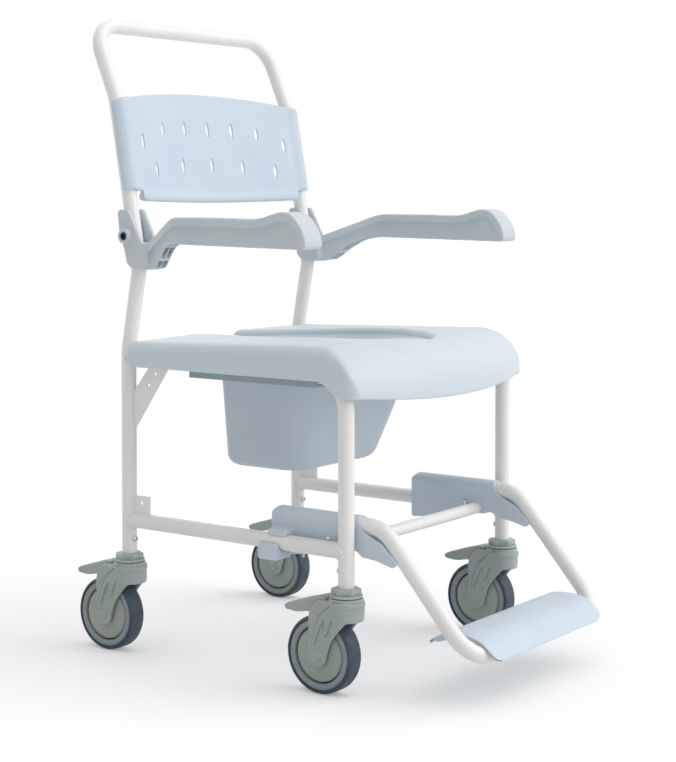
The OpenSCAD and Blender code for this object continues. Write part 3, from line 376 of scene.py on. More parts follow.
def in_outline(points: Sequence[Point], u: Array, v: Array) -> Array:
    """Signed distance to a flat outline: the least to its sides, below zero inside.

    Args:
        points: Corners of the closed outline.
        u: First coordinate of the samples.
        v: Second coordinate of the samples.

    Returns:
        The distances.
    """
    p = np.asarray(points, float)
    least, inside = np.inf, False
    for a, b in zip(p, np.roll(p, -1, axis=0)):
        least = np.minimum(least, squared(a, b, u, v))
        (ax, ay), (bx, by) = a, b
        if ay != by:
            inside ^= ((ay > v) != (by > v)) & (u < ax + (v - ay) * (bx - ax) / (by - ay))
    return np.where(inside, -1.0, 1.0) * np.sqrt(least)


def from_line(points: Sequence[Point], u: Array, v: Array) -> Array:
    """Distance to an open flat line of straight pieces."""
    least = np.inf
    for a, b in zip(points[:-1], points[1:]):
        least = np.minimum(least, squared(a, b, u, v))
    return np.sqrt(least)


# Pieces


def make_piece(name: str, surface: Surface, body: str, finish: bpy.types.Material,
               stands_for: Sequence[str] = (), sharp: float = 40.0) -> None:
    """Puts a surface into the scene as a piece that rides on a body.

    Args:
        name: Name of the piece.
        surface: Its points, in millimetres, and faces.
        body: The frame's body that it moves with.
        finish: Its material.
        stands_for: The frame's nodes that it replaces.
        sharp: Angle in degrees above which an edge is shaded sharp.
    """
    mesh = bpy.data.meshes.new(name)
    points = (surface.points + [0.0, SHIFT_Y, 0.0]) * MM
    mesh.vertices.add(len(points))
    mesh.vertices.foreach_set("co", points.ravel().astype(np.float32))
    corners = np.concatenate([f.ravel() for f in surface.faces])
    totals = np.concatenate([np.full(len(f), f.shape[1]) for f in surface.faces])
    starts = np.concatenate([[0], np.cumsum(totals)[:-1]])
    mesh.loops.add(len(corners))
    mesh.loops.foreach_set("vertex_index", corners.astype(np.int32))
    mesh.polygons.add(len(totals))
    mesh.polygons.foreach_set("loop_start", starts.astype(np.int32))
    mesh.polygons.foreach_set("use_smooth", np.ones(len(totals), bool))
    mesh.update(calc_edges=True)
    mesh.validate()
    mesh.set_sharp_from_angle(angle=math.radians(sharp))
    mesh.materials.append(finish)
    piece = bpy.data.objects.new(name, mesh)
    bpy.context.scene.collection.objects.link(piece)
    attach(piece, body)
    if stands_for:
        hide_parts(*stands_for)
    LOG.info("%s: %d points, %d faces, on %s", name, len(points), len(totals), body)


# Finishes


def linear(colour: Sequence[int]) -> tuple[float, float, float, float]:
    """A screen colour of three bytes as linear light with full cover."""
    c = np.asarray(colour, float) / 255.0
    c = np.where(c <= 0.04045, c / 12.92, ((c + 0.055) / 1.055) ** 2.4)
    return (*c.tolist(), 1.0)


class Nodes:
    """A material's node tree with short ways to add and link nodes."""

    def __init__(self, name: str) -> None:
        """Makes an empty material of that name with its shader."""
        self.material = bpy.data.materials.new(name)
        self.material.use_nodes = True
        self.tree = self.material.node_tree
        self.shader = self.tree.nodes["Principled BSDF"]
        self.place = self.tree.nodes.new("ShaderNodeTexCoord").outputs["Object"]

    def add(self, kind: str, **settings: object) -> bpy.types.Node:
        """Adds a node and sets its properties.

        Args:
            kind: The node's type, without its common first words.
            settings: Properties by name.

        Returns:
            The node.
        """
        node = self.tree.nodes.new("ShaderNode" + kind)
        for key, value in settings.items():
            setattr(node, key, value)
        return node

    def feed(self, target: bpy.types.NodeSocket, value: object) -> None:
        """Links a socket to an input, or sets the input to a plain value."""
        if isinstance(value, bpy.types.NodeSocket):
            self.tree.links.new(value, target)
        else:
            target.default_value = value

    def put(self, **values: object) -> None:
        """Feeds inputs of the shader, whose names are given with _ for a space."""
        for key, value in values.items():
            self.feed(self.shader.inputs[key.replace("_", " ")], value)

    def noise(self, size: float, detail: float = 2.0, stretch: Point = (1, 1, 1)
              ) -> bpy.types.NodeSocket:
        """Cloudy values from 0 to 1 whose lumps are about that many millimetres wide.

        Args:
            size: Width of a lump.
            detail: How many finer layers are added.
            stretch: Scale of the pattern along X, Y and Z.

        Returns:
            The socket with the values.
        """
        mapping = self.add("Mapping")
        self.feed(mapping.inputs["Scale"], stretch)
        self.feed(mapping.inputs["Vector"], self.place)
        texture = self.add("TexNoise")
        self.feed(texture.inputs["Scale"], 1.0 / (size * MM))
        self.feed(texture.inputs["Detail"], detail)
        self.feed(texture.inputs["Vector"], mapping.outputs["Vector"])
        return texture.outputs["Fac"]

    def ranged(self, value: bpy.types.NodeSocket, source: Point, target: Point
               ) -> bpy.types.NodeSocket:
        """Values of one range carried over to another, held at its ends."""
        node = self.add("MapRange", clamp=True)
        for key, number in zip(("From Min", "From Max", "To Min", "To Max"), (*source, *target)):
            self.feed(node.inputs[key], number)
        self.feed(node.inputs["Value"], value)
        return node.outputs["Result"]

    def drifting(self, size: float, detail: float, ends: Point) -> bpy.types.NodeSocket:
        """Values that drift between two ends in clouds of that size."""
        return self.ranged(self.noise(size, detail), (0.3, 0.7), ends)

    def mixed(self, share: bpy.types.NodeSocket, a: object, b: object) -> bpy.types.NodeSocket:
        """Two colours, or the sockets that give them, mixed by a share from 0 to 1."""
        node = self.add("Mix", data_type="RGBA")
        first, second, colour = 6, 7, 2
        for key, value in (("Factor", share), (first, a), (second, b)):
            self.feed(node.inputs[key], value)
        return node.outputs[colour]

    def bumped(self, layers: Sequence[tuple[bpy.types.NodeSocket, float]]) -> None:
        """Gives the shader relief from layers of height, each with its depth in millimetres."""
        normal = None
        for height, depth in layers:
            bump = self.add("Bump")
            self.feed(bump.inputs["Strength"], 1.0)
            self.feed(bump.inputs["Distance"], depth * MM)
            self.feed(bump.inputs["Height"], height)
            if normal is not None:
                self.feed(bump.inputs["Normal"], normal)
            normal = bump.outputs["Normal"]
        self.put(Normal=normal)


@dataclass(frozen=True)
class Moulding:
    """A moulded plastic: a grained surface, lighter along its worn edges, faintly uneven."""

    name: str
    colour: Bytes
    shade: Bytes
    edge: Bytes
    grain: float = 1.1
    grain_depth: float = 0.05
    rough: tuple[float, float] = (0.36, 0.5)

    def make(self) -> bpy.types.Material:
        """Builds the material: broad tint, worn edges, sheen that drifts, and grain."""
        n = Nodes(self.name)
        broad = n.drifting(90.0, 3.0, (0.0, 1.0))
        body = n.mixed(broad, linear(self.shade), linear(self.colour))
        worn = n.ranged(n.add("NewGeometry").outputs["Pointiness"], (0.52, 0.6), (0.0, 0.55))
        n.put(Base_Color=n.mixed(worn, body, linear(self.edge)),
              Roughness=n.drifting(35.0, 4.0, self.rough), Specular_IOR_Level=0.34)
        n.bumped([(n.noise(self.grain, 1.0), self.grain_depth), (n.noise(14.0, 1.0), 0.05)])
        return n.material


@dataclass(frozen=True)
class Paint:
    """Powder paint on steel tube: nearly smooth, with a faint orange-peel and dull patches."""

    name: str
    colour: Bytes
    shade: Bytes
    scuff: Bytes
    rough: tuple[float, float] = (0.3, 0.42)

    def make(self) -> bpy.types.Material:
        """Builds the material: two whites, faint scuffs, drifting gloss and orange-peel."""
        n = Nodes(self.name)
        body = n.mixed(n.ranged(n.noise(120.0, 2.0), (0.35, 0.65), (0.0, 1.0)),
                       linear(self.shade), linear(self.colour))
        scuffs = n.ranged(n.noise(9.0, 6.0, (1, 1, 0.35)), (0.66, 0.74), (0.0, 0.35))
        n.put(Base_Color=n.mixed(scuffs, body, linear(self.scuff)),
              Roughness=n.drifting(28.0, 4.0, self.rough), Coat_Weight=0.15, Coat_Roughness=0.25)
        n.bumped([(n.noise(2.6, 0.0), 0.03)])
        return n.material


@dataclass(frozen=True)
class Steel:
    """Bright plated steel with fine turning marks and a dull bloom in places."""

    name: str
    colour: Bytes
    stain: Bytes
    rough: tuple[float, float] = (0.2, 0.38)

    def make(self) -> bpy.types.Material:
        """Builds the material: metal with stains, drifting gloss and fine scratches."""
        n = Nodes(self.name)
        stains = n.ranged(n.noise(3.0, 4.0), (0.5, 0.72), (0.0, 0.7))
        n.put(Base_Color=n.mixed(stains, linear(self.colour), linear(self.stain)),
              Roughness=n.drifting(2.0, 3.0, self.rough), Metallic=1.0)
        n.bumped([(n.noise(0.8, 2.0, (1, 1, 8)), 0.02)])
        return n.material


@dataclass(frozen=True)
class Rubber:
    """Tyre rubber: dark, dull, dusty where it runs on the floor."""

    name: str
    colour: Bytes
    dust: Bytes

    def make(self) -> bpy.types.Material:
        """Builds the material: dust in soft patches, a dull sheen and a fine crêpe."""
        n = Nodes(self.name)
        dusty = n.ranged(n.noise(16.0, 5.0), (0.42, 0.72), (0.0, 0.5))
        n.put(Base_Color=n.mixed(dusty, linear(self.colour), linear(self.dust)),
              Roughness=n.drifting(10.0, 3.0, (0.5, 0.66)), Specular_IOR_Level=0.35)
        n.bumped([(n.noise(0.9, 1.0), 0.04), (n.noise(7.0, 2.0), 0.06)])
        return n.material


class Finishes:
    """All finishes of the chair, each made once."""

    def __init__(self) -> None:
        """Makes the materials."""
        pale, dull = (226, 234, 239), (0.46, 0.58)
        self.paint = Paint("powder_paint", (240, 239, 237), (236, 235, 233), (218, 216, 213)).make()
        self.seat = Moulding("seat_blue", (212, 223, 229), (207, 219, 226), pale,
                             grain=1.3, grain_depth=0.11, rough=dull).make()
        self.back = Moulding("back_blue", (204, 217, 229), (199, 213, 226), pale,
                             rough=dull).make()
        self.arm = Moulding("arm_blue", (206, 215, 220), (201, 210, 216), pale,
                            grain_depth=0.04, rough=dull).make()
        self.foot = Moulding("foot_blue", (208, 220, 230), (203, 215, 226), pale,
                             grain_depth=0.07, rough=dull).make()
        self.pan = Moulding("pan_blue", (202, 214, 225), (196, 209, 221), (218, 227, 235),
                            grain_depth=0.04, rough=(0.44, 0.56)).make()
        self.rail = Moulding("rail_grey", (150, 166, 175), (142, 159, 168), (170, 186, 193)).make()
        self.caster = Moulding("caster_grey", (170, 181, 178), (162, 173, 170), (198, 207, 204),
                               grain=0.9, rough=(0.4, 0.55)).make()
        self.disc = Moulding("disc_grey", (168, 178, 170), (161, 171, 163), (192, 200, 193),
                             grain=0.9).make()
        self.rim = Moulding("rim_grey", (146, 158, 160), (138, 150, 153), (166, 178, 180),
                            grain=0.9).make()
        # The gap ring is tyre rubber seen between wheel disc and rim, painted near-black as the shade
        # in that gap.
        self.gap = Rubber("gap_black", (16, 18, 19), (30, 32, 33)).make()
        self.tyre = Rubber("tyre_slate", (60, 74, 87), (84, 97, 108)).make()
        self.steel = Steel("plated_steel", (196, 197, 200), (150, 150, 152)).make()
        self.socket = Steel("dark_socket", (58, 60, 64), (34, 35, 38), (0.35, 0.5)).make()


# The steel frame


@dataclass
class FrameTubes:
    """The welded tube frame with its push handle, plates, weld beads and stem screws."""

    finishes: Finishes
    tube_r: float = TUBE_R
    leg_x: float = LEG_X
    leg_y: float = LEG_Y
    foot_z: float = 168.0
    rail_z: float = 494.0
    lower_z: float = LOWER_Z
    seat_bend_r: float = 60.0
    back_bend_r: float = 90.0
    bar_bend_r: float = 55.0
    lean_z: float = 506.0
    waist: tuple[float, float] = WAIST
    shoulder: tuple[float, float] = SHOULDER
    bar: tuple[float, float] = (303.0, 1052.0)
    splice_share: float = 0.86
    front_cross_y: float = -148.0
    rear_cross_y: float = 178.0
    bead_r: float = 2.3
    bead_gap: float = 0.2
    ripple: tuple[float, float] = (0.1, 46.0)
    screw_z: float = 192.0

    def splice(self) -> tuple[float, float]:
        """Place where a rear leg and the push handle are joined, inside the backrest's sleeve."""
        (y0, z0), (y1, z1) = self.waist, self.shoulder
        return y0 + (y1 - y0) * self.splice_share, z0 + (z1 - z0) * self.splice_share

    def rear_leg(self, side: Side) -> Surface:
        """A rear leg: up from its caster, forward to the waist, then back up to the splice."""
        x = side.value * self.leg_x
        corners = [(x, self.leg_y, self.foot_z), (x, self.leg_y, self.lean_z),
                   (x, *self.waist), (x, *self.splice())]
        path = rounded_path(corners, [self.back_bend_r, self.back_bend_r])
        return swept(path, self.tube_r, (1, 0, 0))

    def push_handle(self) -> Surface:
        """The push handle: up both shoulders and round the bar."""
        x = self.leg_x
        half = [(-x, *self.splice()), (-x, *self.shoulder), (-x, *self.bar)]
        corners = half + [(-a, b, c) for a, b, c in half[::-1]]
        radii = [self.back_bend_r, self.bar_bend_r, self.bar_bend_r, self.back_bend_r]
        return swept(rounded_path(corners, radii), self.tube_r, (0, 1, 0))

    def side_tube(self, side: Side) -> Surface:
        """A front leg that bends back into the rail under the seat."""
        x = side.value * self.leg_x
        corners = [(x, -self.leg_y, self.foot_z), (x, -self.leg_y, self.rail_z),
                   (x, self.leg_y, self.rail_z)]
        return swept(rounded_path(corners, [self.seat_bend_r]), self.tube_r, (1, 0, 0))

    def straight(self, a: Point, b: Point, across: Point) -> Surface:
        """A straight tube between two points."""
        return swept(np.linspace(a, b, 12), self.tube_r, across)

    def bead(self, joint: Point, way: Point, across: Point) -> Surface:
        """A weld bead where one tube runs square into another of the same radius.

        The bead follows the line in which the two tubes meet: round the incoming tube by an angle,
        and along it by the root of the radius squared less the sideways distance squared. Its
        thickness ripples as a weld's does.

        Args:
            joint: Point where the axes meet.
            way: Direction of the incoming tube, away from the joint.
            across: Direction of the tube that it meets.

        Returns:
            The bead.
        """
        n, a = np.asarray(way, float), np.asarray(across, float)
        side = np.cross(n, a)
        turn = np.linspace(0.0, 2.0 * math.pi, 160)[:, None]
        r, (depth, count) = self.tube_r + self.bead_gap, self.ripple
        least = 2.0
        reach = np.sqrt(np.maximum(r * r - (r * np.sin(turn)) ** 2, least))
        path = np.asarray(joint, float) + r * (np.sin(turn) * side + np.cos(turn) * a) + reach * n
        thick = self.bead_r * (1.0 + depth * np.sin(count * turn[:, 0]))
        return swept(path, thick, n + 0.01 * a, 12)

    def screw(self, x: float, end: End) -> Surface:
        """A pan-head screw that holds a caster's stem, with a recess in its head."""
        profile = [(5.0, 0.0), (5.0, 1.4), (4.4, 2.5), (3.2, 3.0), (2.1, 3.1), (1.9, 1.2),
                   (0.2, 1.0)]
        at = (x, end.value * (self.leg_y - self.tube_r), self.screw_z)
        return turned(profile, at, (0, -end.value, 0), 32)

    def painted(self, node: str, tube: Surface) -> None:
        """Makes a painted tube in place of a node."""
        make_piece(f"{node}.tube", tube, "frame", self.finishes.paint, [node])

    def side_pieces(self, side: Side) -> None:
        """Makes the tubes and weld beads of one side, and paints its plates."""
        x, y, low, rail = side.value * self.leg_x, self.leg_y, self.lower_z, self.rail_z
        self.painted(f"rear_leg_{side.word}", self.rear_leg(side))
        self.painted(f"side_tube_{side.word}", self.side_tube(side))
        self.painted(f"lower_rail_{side.word}", self.straight((x, -y, low), (x, y, low), (1, 0, 0)))
        legs = [((x, -y, low), (0, 1, 0)), ((x, y, low), (0, -1, 0)), ((x, y, rail), (0, -1, 0))]
        beads = [self.bead(joint, way, (0, 0, 1)) for joint, way in legs]
        for cross_y in (self.front_cross_y, self.rear_cross_y):
            beads.append(self.bead((x, cross_y, rail), (-side.value, 0, 0), (0, 1, 0)))
        make_piece(f"weld_beads_{side.word}", joined(beads), "frame",
                   self.finishes.paint)
        for node in ("gusset", "rail_tab"):
            dress_node(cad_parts[f"{node}_{side.word}"], self.finishes.paint)

    def build(self) -> None:
        """Makes every piece of the frame."""
        for side in Side:
            self.side_pieces(side)
        self.painted("push_handle", self.push_handle())
        x, z = self.leg_x, self.rail_z
        for word, y in (("front", self.front_cross_y), ("rear", self.rear_cross_y)):
            self.painted(f"{word}_cross_tube", self.straight((-x, y, z), (x, y, z), (0, 0, 1)))
        screws = joined([self.screw(side.value * x, end) for side, end in product(Side, End)])
        make_piece("stem_screws.heads", screws, "frame", self.finishes.steel,
                   ["stem_screws"])


def dress_node(node: bpy.types.Object, finish: bpy.types.Material) -> None:
    """Gives a node of the frame a finish in place of its own."""
    if not node.material_slots:
        node.data.materials.append(finish)
    for slot in node.material_slots:
        slot.material = finish


# Backrest


@dataclass(frozen=True)
class SlotRow:
    """A row of drain slots, even about the middle.

    Attributes:
        shares: Places of the middle slot and those to one side of it, as shares of the way out.
        height: Height of the middle slot over the backrest's foot.
        fall: How much lower the last slot lies.
        power: Power of the way out with which the row falls.
    """

    shares: tuple[float, ...]
    height: float
    fall: float
    power: int


@dataclass
class Backrest:
    """The hollow backrest panel with its drain slots and the sleeves round the rear tubes."""

    finishes: Finishes
    waist: tuple[float, float] = WAIST
    shoulder: tuple[float, float] = SHOULDER
    leg_x: float = LEG_X
    tube_r: float = TUBE_R
    tube_gap: float = 0.2
    roll_r: float = 19.0
    wrap: float = 80.0
    half_w: float = 236.0
    low: float = 111.0
    step_h: float = 17.0
    foot_half: float = 212.0
    lip_r: float = 7.0
    high: float = 282.0
    arch: float = 21.0
    corner_r: float = 14.0
    radius: float = 975.0
    back: float = 6.0
    front: float = -15.5
    thick: float = 4.0
    slot_len: float = 28.0
    slot_w: float = 7.4
    slot_rows: tuple[SlotRow, ...] = (
        SlotRow((0.0, 0.275, 0.55, 0.83), 128.2, 28.0, 4),
        SlotRow((0.0, 0.35, 0.7), 63.8, 10.6, 2),
    )
    slot_edge: float = 0.5
    panel_edge: float = 1.9
    end_edge: float = 3.0
    curl_edge: float = 4.0
    wrap_edge: float = 1.5
    bore_edge: float = 0.8
    step_fillet: float = 2.0
    top_fillet: float = 9.0
    face_fillet: float = 9.0
    lip_fillet: float = 8.0
    curl_fillet: float = 8.0
    lip_inset: float = 2.0
    step: tuple[float, float, float] = (1.7, 1.2, 1.9)

    def top(self, x: Array, z: Array) -> Array:
        """Distance above the arched upper edge, which is part of a wide circle."""
        chord = (self.half_w ** 2 + self.arch ** 2) / (2.0 * self.arch)
        return np.hypot(x, z - (self.high + self.arch - chord)) - chord

    def outline(self, x: Array, z: Array) -> Array:
        """Distance to the panel's outline: a wide part, a foot between the tubes, an arched top."""
        wide = prism(np.abs(x) - self.half_w, self.low + self.step_h - z, self.corner_r)
        foot = prism(np.abs(x) - self.foot_half, self.low - z, 0.5 * self.step_h)
        return common(union(wide, foot, self.step_fillet), self.top(x, z), self.top_fillet)

    def slots(self, x: Array, z: Array) -> Array:
        """Distance to the nearest drain slot, on both sides of the middle."""
        least = np.inf
        for row in self.slot_rows:
            for share in row.shares:
                z0 = self.low + row.height - row.fall * (share / row.shares[-1]) ** row.power
                least = np.minimum(least, self.one_slot(np.abs(x) - share * self.leg_x, z - z0))
        return least

    def one_slot(self, x: Array, z: Array) -> Array:
        """Distance to an upright slot about the origin, widest in the middle with pointed ends."""
        share = np.clip(2.0 * z / self.slot_len, -1.2, 1.2)
        return np.abs(x) - 0.5 * self.slot_w * (1.0 - share * share)

    def solid(self) -> Surface:
        """The whole moulding: a hollow plate with a rolled foot, curled round the tubes' front.

        The plate is a slice of a wide cylinder that is held back beside the tubes, so that the
        curls stand out before it.

        Returns:
            The backrest, upright over the waist.
        """
        wide, deep, room = self.leg_x + 24.0, 27.0, 5.0
        box = Lattice((-wide, -deep, self.low - room),
                      (wide, deep, self.high + self.arch + room), self.step)
        x, y, z = box.axes()
        curve = self.back - self.radius + np.sqrt(self.radius ** 2 - x * x)
        face = common(curve, np.full_like(x, self.front), self.face_fillet)
        flat = cut(self.outline(x, z), self.slots(x, z), self.slot_edge)
        panel = prism(flat, slab(y, face, face + self.thick), self.panel_edge)
        lip = np.hypot(y - face - self.lip_r, z - self.low - self.lip_r) - self.lip_r
        lip = np.maximum(lip, np.abs(x) - self.foot_half + self.lip_inset)
        panel = union(panel, lip, self.lip_fillet)
        off = np.abs(x) - self.leg_x
        tube = np.hypot(off, y)
        ends = common(self.low + self.step_h - z, self.top(x, z), self.end_edge)
        curl = prism(tube - self.roll_r, ends, self.curl_edge)
        angle = math.radians(self.wrap)
        curl = common(curl, y * math.sin(angle) + off * math.cos(angle), self.wrap_edge)
        whole = union(panel, curl, self.curl_fillet)
        return box.skin(cut(whole, tube - self.tube_r - self.tube_gap, self.bore_edge))

    def build(self) -> None:
        """Makes the backrest, tilted to the rear tubes."""
        surface = self.solid()
        (y0, z0), (y1, z1) = self.waist, self.shoulder
        tilt = math.atan2(y1 - y0, z1 - z0)
        c, s = math.cos(tilt), math.sin(tilt)
        x, y, z = surface.points.T
        surface.points = np.stack([x, y0 + y * c + z * s, z0 - y * s + z * c], axis=1)
        make_piece("backrest.moulding", surface, "frame", self.finishes.back,
                   ["backrest"])


# Seat


@dataclass
class Seat:
    """The moulded seat: a shell round a keyhole opening that is open to the rear."""

    finishes: Finishes
    half_w: float = 252.0
    side_y: float = 210.5
    rear_y: float = 228.0
    corner_y: float = -256.0
    corner_r: float = 25.0
    bow: float = 28.0
    front_y: float = -223.0
    under_z: float = 506.5
    rear_t: float = 15.5
    front_t: float = 28.5
    wall: float = 6.5
    edge_r: float = 24.0
    roll: float = 82.0
    roll_h: float = 72.0
    skirt: float = 25.5
    apron: float = 50.0
    dip: float = 12.0
    opening_w: float = 244.0
    opening_rear_w: float = 96.0
    opening_y: float = -25.0
    opening_front: float = 192.0
    lip: float = 92.0
    rim_r: float = 11.0
    slope: float = 14.0
    point: float = 1.2
    end_r: float = 15.0
    end_depth: float = 34.0
    end_inner: float = 4.0
    corner_from: float = 0.2
    corner_to: float = 0.6

    def stations(self) -> tuple[Array, Array, Array, Array]:
        """Places round the left half of the seat, from the rear end to the middle of the front.

        The outer edge runs straight along the side, round an arc at the corner and along a parabola
        at the front. Beside it the opening's rim follows a cosine from its rear width to its
        widest place, and then a quarter of an ellipse.

        Returns:
            Outer points, rim points, foot points of the opening and the share of the way round to
            the front.
        """
        side_end = self.corner_y + self.corner_r
        roll_y = side_end + self.roll
        length = self.side_y - roll_y
        end = self.end_r * (1.0 - np.cos(np.linspace(0.0, 0.5 * math.pi, 12)))
        along = np.concatenate([end, np.linspace(self.end_r, length, 40)[1:]]) / length
        near, arc, front = (np.linspace(0.0, 1.0, steps + 1)[1:] for steps in (20, 14, 26))
        turn, corner_x = 0.5 * math.pi * arc, self.half_w - self.corner_r
        outer = np.concatenate([
            np.stack([np.full_like(along, self.half_w), self.side_y - length * along], 1),
            np.stack([np.full_like(near, self.half_w), roll_y - self.roll * near], 1),
            np.stack([corner_x + self.corner_r * np.cos(turn),
                      side_end - self.corner_r * np.sin(turn)], 1),
            np.stack([corner_x * (1.0 - front),
                      self.corner_y - self.bow * (1.0 - (1.0 - front) ** 2)], 1),
        ])
        a, b = self.corner_from, self.corner_to
        way = np.concatenate([np.zeros_like(along), a * near, a + (b - a) * arc,
                              b + (1.0 - b) * front])
        back = 0.5 * (1.0 - np.cos(math.pi * (1.0 - along)))
        half = 0.5 * (self.opening_w + (self.opening_rear_w - self.opening_w) * back)
        rear, roll_end = len(along), len(along) + len(near)
        quarter = 0.5 * math.pi * way[rear:]

        def ellipse(half_x: float, reach: float) -> Array:
            """The front quarter of an opening, a little more pointed than an ellipse."""
            return np.stack([half_x * np.abs(np.cos(quarter)) ** self.point,
                             self.opening_y - reach * np.sin(quarter)], 1)

        rim = np.concatenate([
            np.stack([half, self.rear_y + (self.opening_y - self.rear_y) * along], 1),
            ellipse(0.5 * self.opening_w, self.opening_front),
        ])
        inset = 0.5 * self.rim_r + self.slope
        beside = rim - unit(outer - rim) * inset
        ahead = ellipse(0.5 * self.opening_w - inset, self.opening_front - self.lip)
        foot = np.concatenate([beside[:rear], ahead])
        leave = ease(np.linspace(1.0, 0.0, len(near)))[:, None]
        foot[rear:roll_end] += leave * (beside[rear:roll_end] - foot[rear:roll_end])
        return outer, rim, foot, way

    def drop(self, flat: Array) -> Array:
        """How far the top lies below its level at points of the plan.

        Towards the front it falls along a quarter of an ellipse, towards the side along a quarter
        of a circle. Where both act, the fall is the long side of a right-angled triangle whose
        short sides are the two.

        Args:
            flat: Points across and along the seat.

        Returns:
            The fall at each point.
        """
        across, along = np.abs(flat[..., 0]), flat[..., 1]
        edge = self.corner_y - self.bow * (1.0 - (across / (self.half_w - self.corner_r)) ** 2)
        ahead = 1.0 - np.clip((along - edge) / self.roll, 0.0, 1.0)
        aside = 1.0 - np.clip((self.half_w - across) / self.edge_r, 0.0, 1.0)
        return np.hypot(self.roll_h * (1.0 - np.sqrt(1.0 - ahead * ahead)),
                        self.edge_r * (1.0 - np.sqrt(1.0 - aside * aside)))

    def half_rings(self) -> Array:
        """Closed sections at every station of the left half.

        A section runs up the opening's sloping wall, round its rim, out over the top and down the
        rounded edge or the front roll, down the skirt, round its lower edge and back along the
        inside.

        Returns:
            Points in the shape of stations by points by three.
        """
        outer, rim, foot, way = self.stations()
        out = unit(outer - rim)
        width = np.linalg.norm(outer - rim, axis=1)
        roll = self.edge_r + (self.roll - self.edge_r) * ease(2.2 * way)
        rise = np.clip((outer[:, 1] - self.front_y) / (self.rear_y - self.front_y), 0.0, 1.0)
        top = self.under_z + self.front_t + (self.rear_t - self.front_t) * rise
        fall = ease((way / self.corner_from - 0.42) / 0.55)
        sag = np.clip((way - self.corner_to) / (1.0 - self.corner_to), 0.0, 1.0)
        low = (self.under_z - self.skirt - (self.apron - self.skirt) * fall
               - self.dip * sag * (2.0 - sag))
        half = 0.5 * self.wall
        knee = np.maximum(top - self.drop(outer), low + half + 1.0)
        reach = np.minimum(roll, width - 2.0 * self.rim_r)
        first = np.arccos(np.clip(1.0 - reach / roll, 0.0, 1.0))
        flat_from = width - self.rim_r
        none = np.zeros_like(way)
        crest = top - self.drop(outer - out * flat_from[:, None])

        def at(distance: Array, height: Array) -> Array:
            """Points at distances inward from the outer edge and at heights."""
            flat = outer - out * distance[:, None]
            return np.concatenate([flat, height[:, None]], axis=1)

        def over(distance: Array) -> Array:
            """Points on the top at distances inward from the outer edge."""
            flat = outer - out * distance[:, None]
            return at(distance, np.maximum(top - self.drop(flat), knee))

        rings = [np.concatenate([foot, np.full((len(foot), 1), self.under_z)], axis=1)]
        slope = np.concatenate([rim, (crest - self.rim_r)[:, None]], axis=1)
        for share in (0.15, 0.4, 0.7):
            rings.append(rings[0] + (slope - rings[0]) * share)
        for turn in np.linspace(math.pi, 0.5 * math.pi, 7):
            rings.append(at(width - self.rim_r * (1.0 + math.cos(turn)),
                            crest - self.rim_r * (1.0 - math.sin(turn))))
        for share in np.linspace(0.0, 1.0, 10)[1:-1]:
            rings.append(over(flat_from + (reach - flat_from) * share))
        for share in np.linspace(1.0, 0.0, 22):
            rings.append(over(roll * (1.0 - np.cos(first * share))))
        for share in (0.3, 0.65):
            rings.append(at(none, knee + (low + half - knee) * share))
        for turn in np.linspace(0.0, math.pi, 7):
            rings.append(at(none + half * (1.0 - math.cos(turn)),
                            low + half * (1.0 - math.sin(turn))))
        inner_h = np.maximum(self.under_z - knee, 2.0)
        room = np.minimum(roll, width - self.rim_r)
        for turn in np.linspace(0.0, 0.5 * math.pi, 9):
            rings.append(at(room - (room - self.wall) * math.cos(turn),
                            self.under_z - inner_h * (1.0 - math.sin(turn))))
        return self.ended(np.stack(rings, axis=1), outer)

    def ended(self, rings: Array, outer: Array) -> Array:
        """Rounds off the rear end: heights shrink to a middle level along a quarter of a circle.

        The shrinkage is strongest at the outer edge, where the skirt ends in a half round, and
        small further in, where only the edge is eased.

        Args:
            rings: The sections, in the shape of stations by points by three.
            outer: The outer point of every station.

        Returns:
            The sections with their rear end rounded.
        """
        from_end = np.clip((self.side_y - outer[:, 1]) / self.end_r, 0.0, 1.0)
        shape = 1.0 - np.sqrt(np.maximum(1.0 - (1.0 - from_end) ** 2, 0.0))
        inward = np.linalg.norm(rings[..., :2] - outer[:, None], axis=2)
        near = np.clip(1.0 - inward / self.end_depth, 0.0, 1.0)
        middle = self.under_z + 0.5 * (self.rear_t - self.skirt)
        eased = self.end_inner + (self.end_r - self.end_inner) * near
        share = eased / (self.under_z + self.rear_t - middle)
        rings = rings.copy()
        rings[..., 2] = middle + (rings[..., 2] - middle) * (1.0 - share * shape[:, None])
        return rings

    def shell(self) -> Surface:
        """The whole shell: the left half and its mirror image, skinned from end to end."""
        left = self.half_rings()
        right = left[-2::-1] * [-1.0, 1.0, 1.0]
        return lofted(np.concatenate([left, right]))

    def build(self) -> None:
        """Makes the seat."""
        make_piece("seat.moulding", self.shell(), "frame", self.finishes.seat,
                   ["seat"], 50.0)


# Armrests


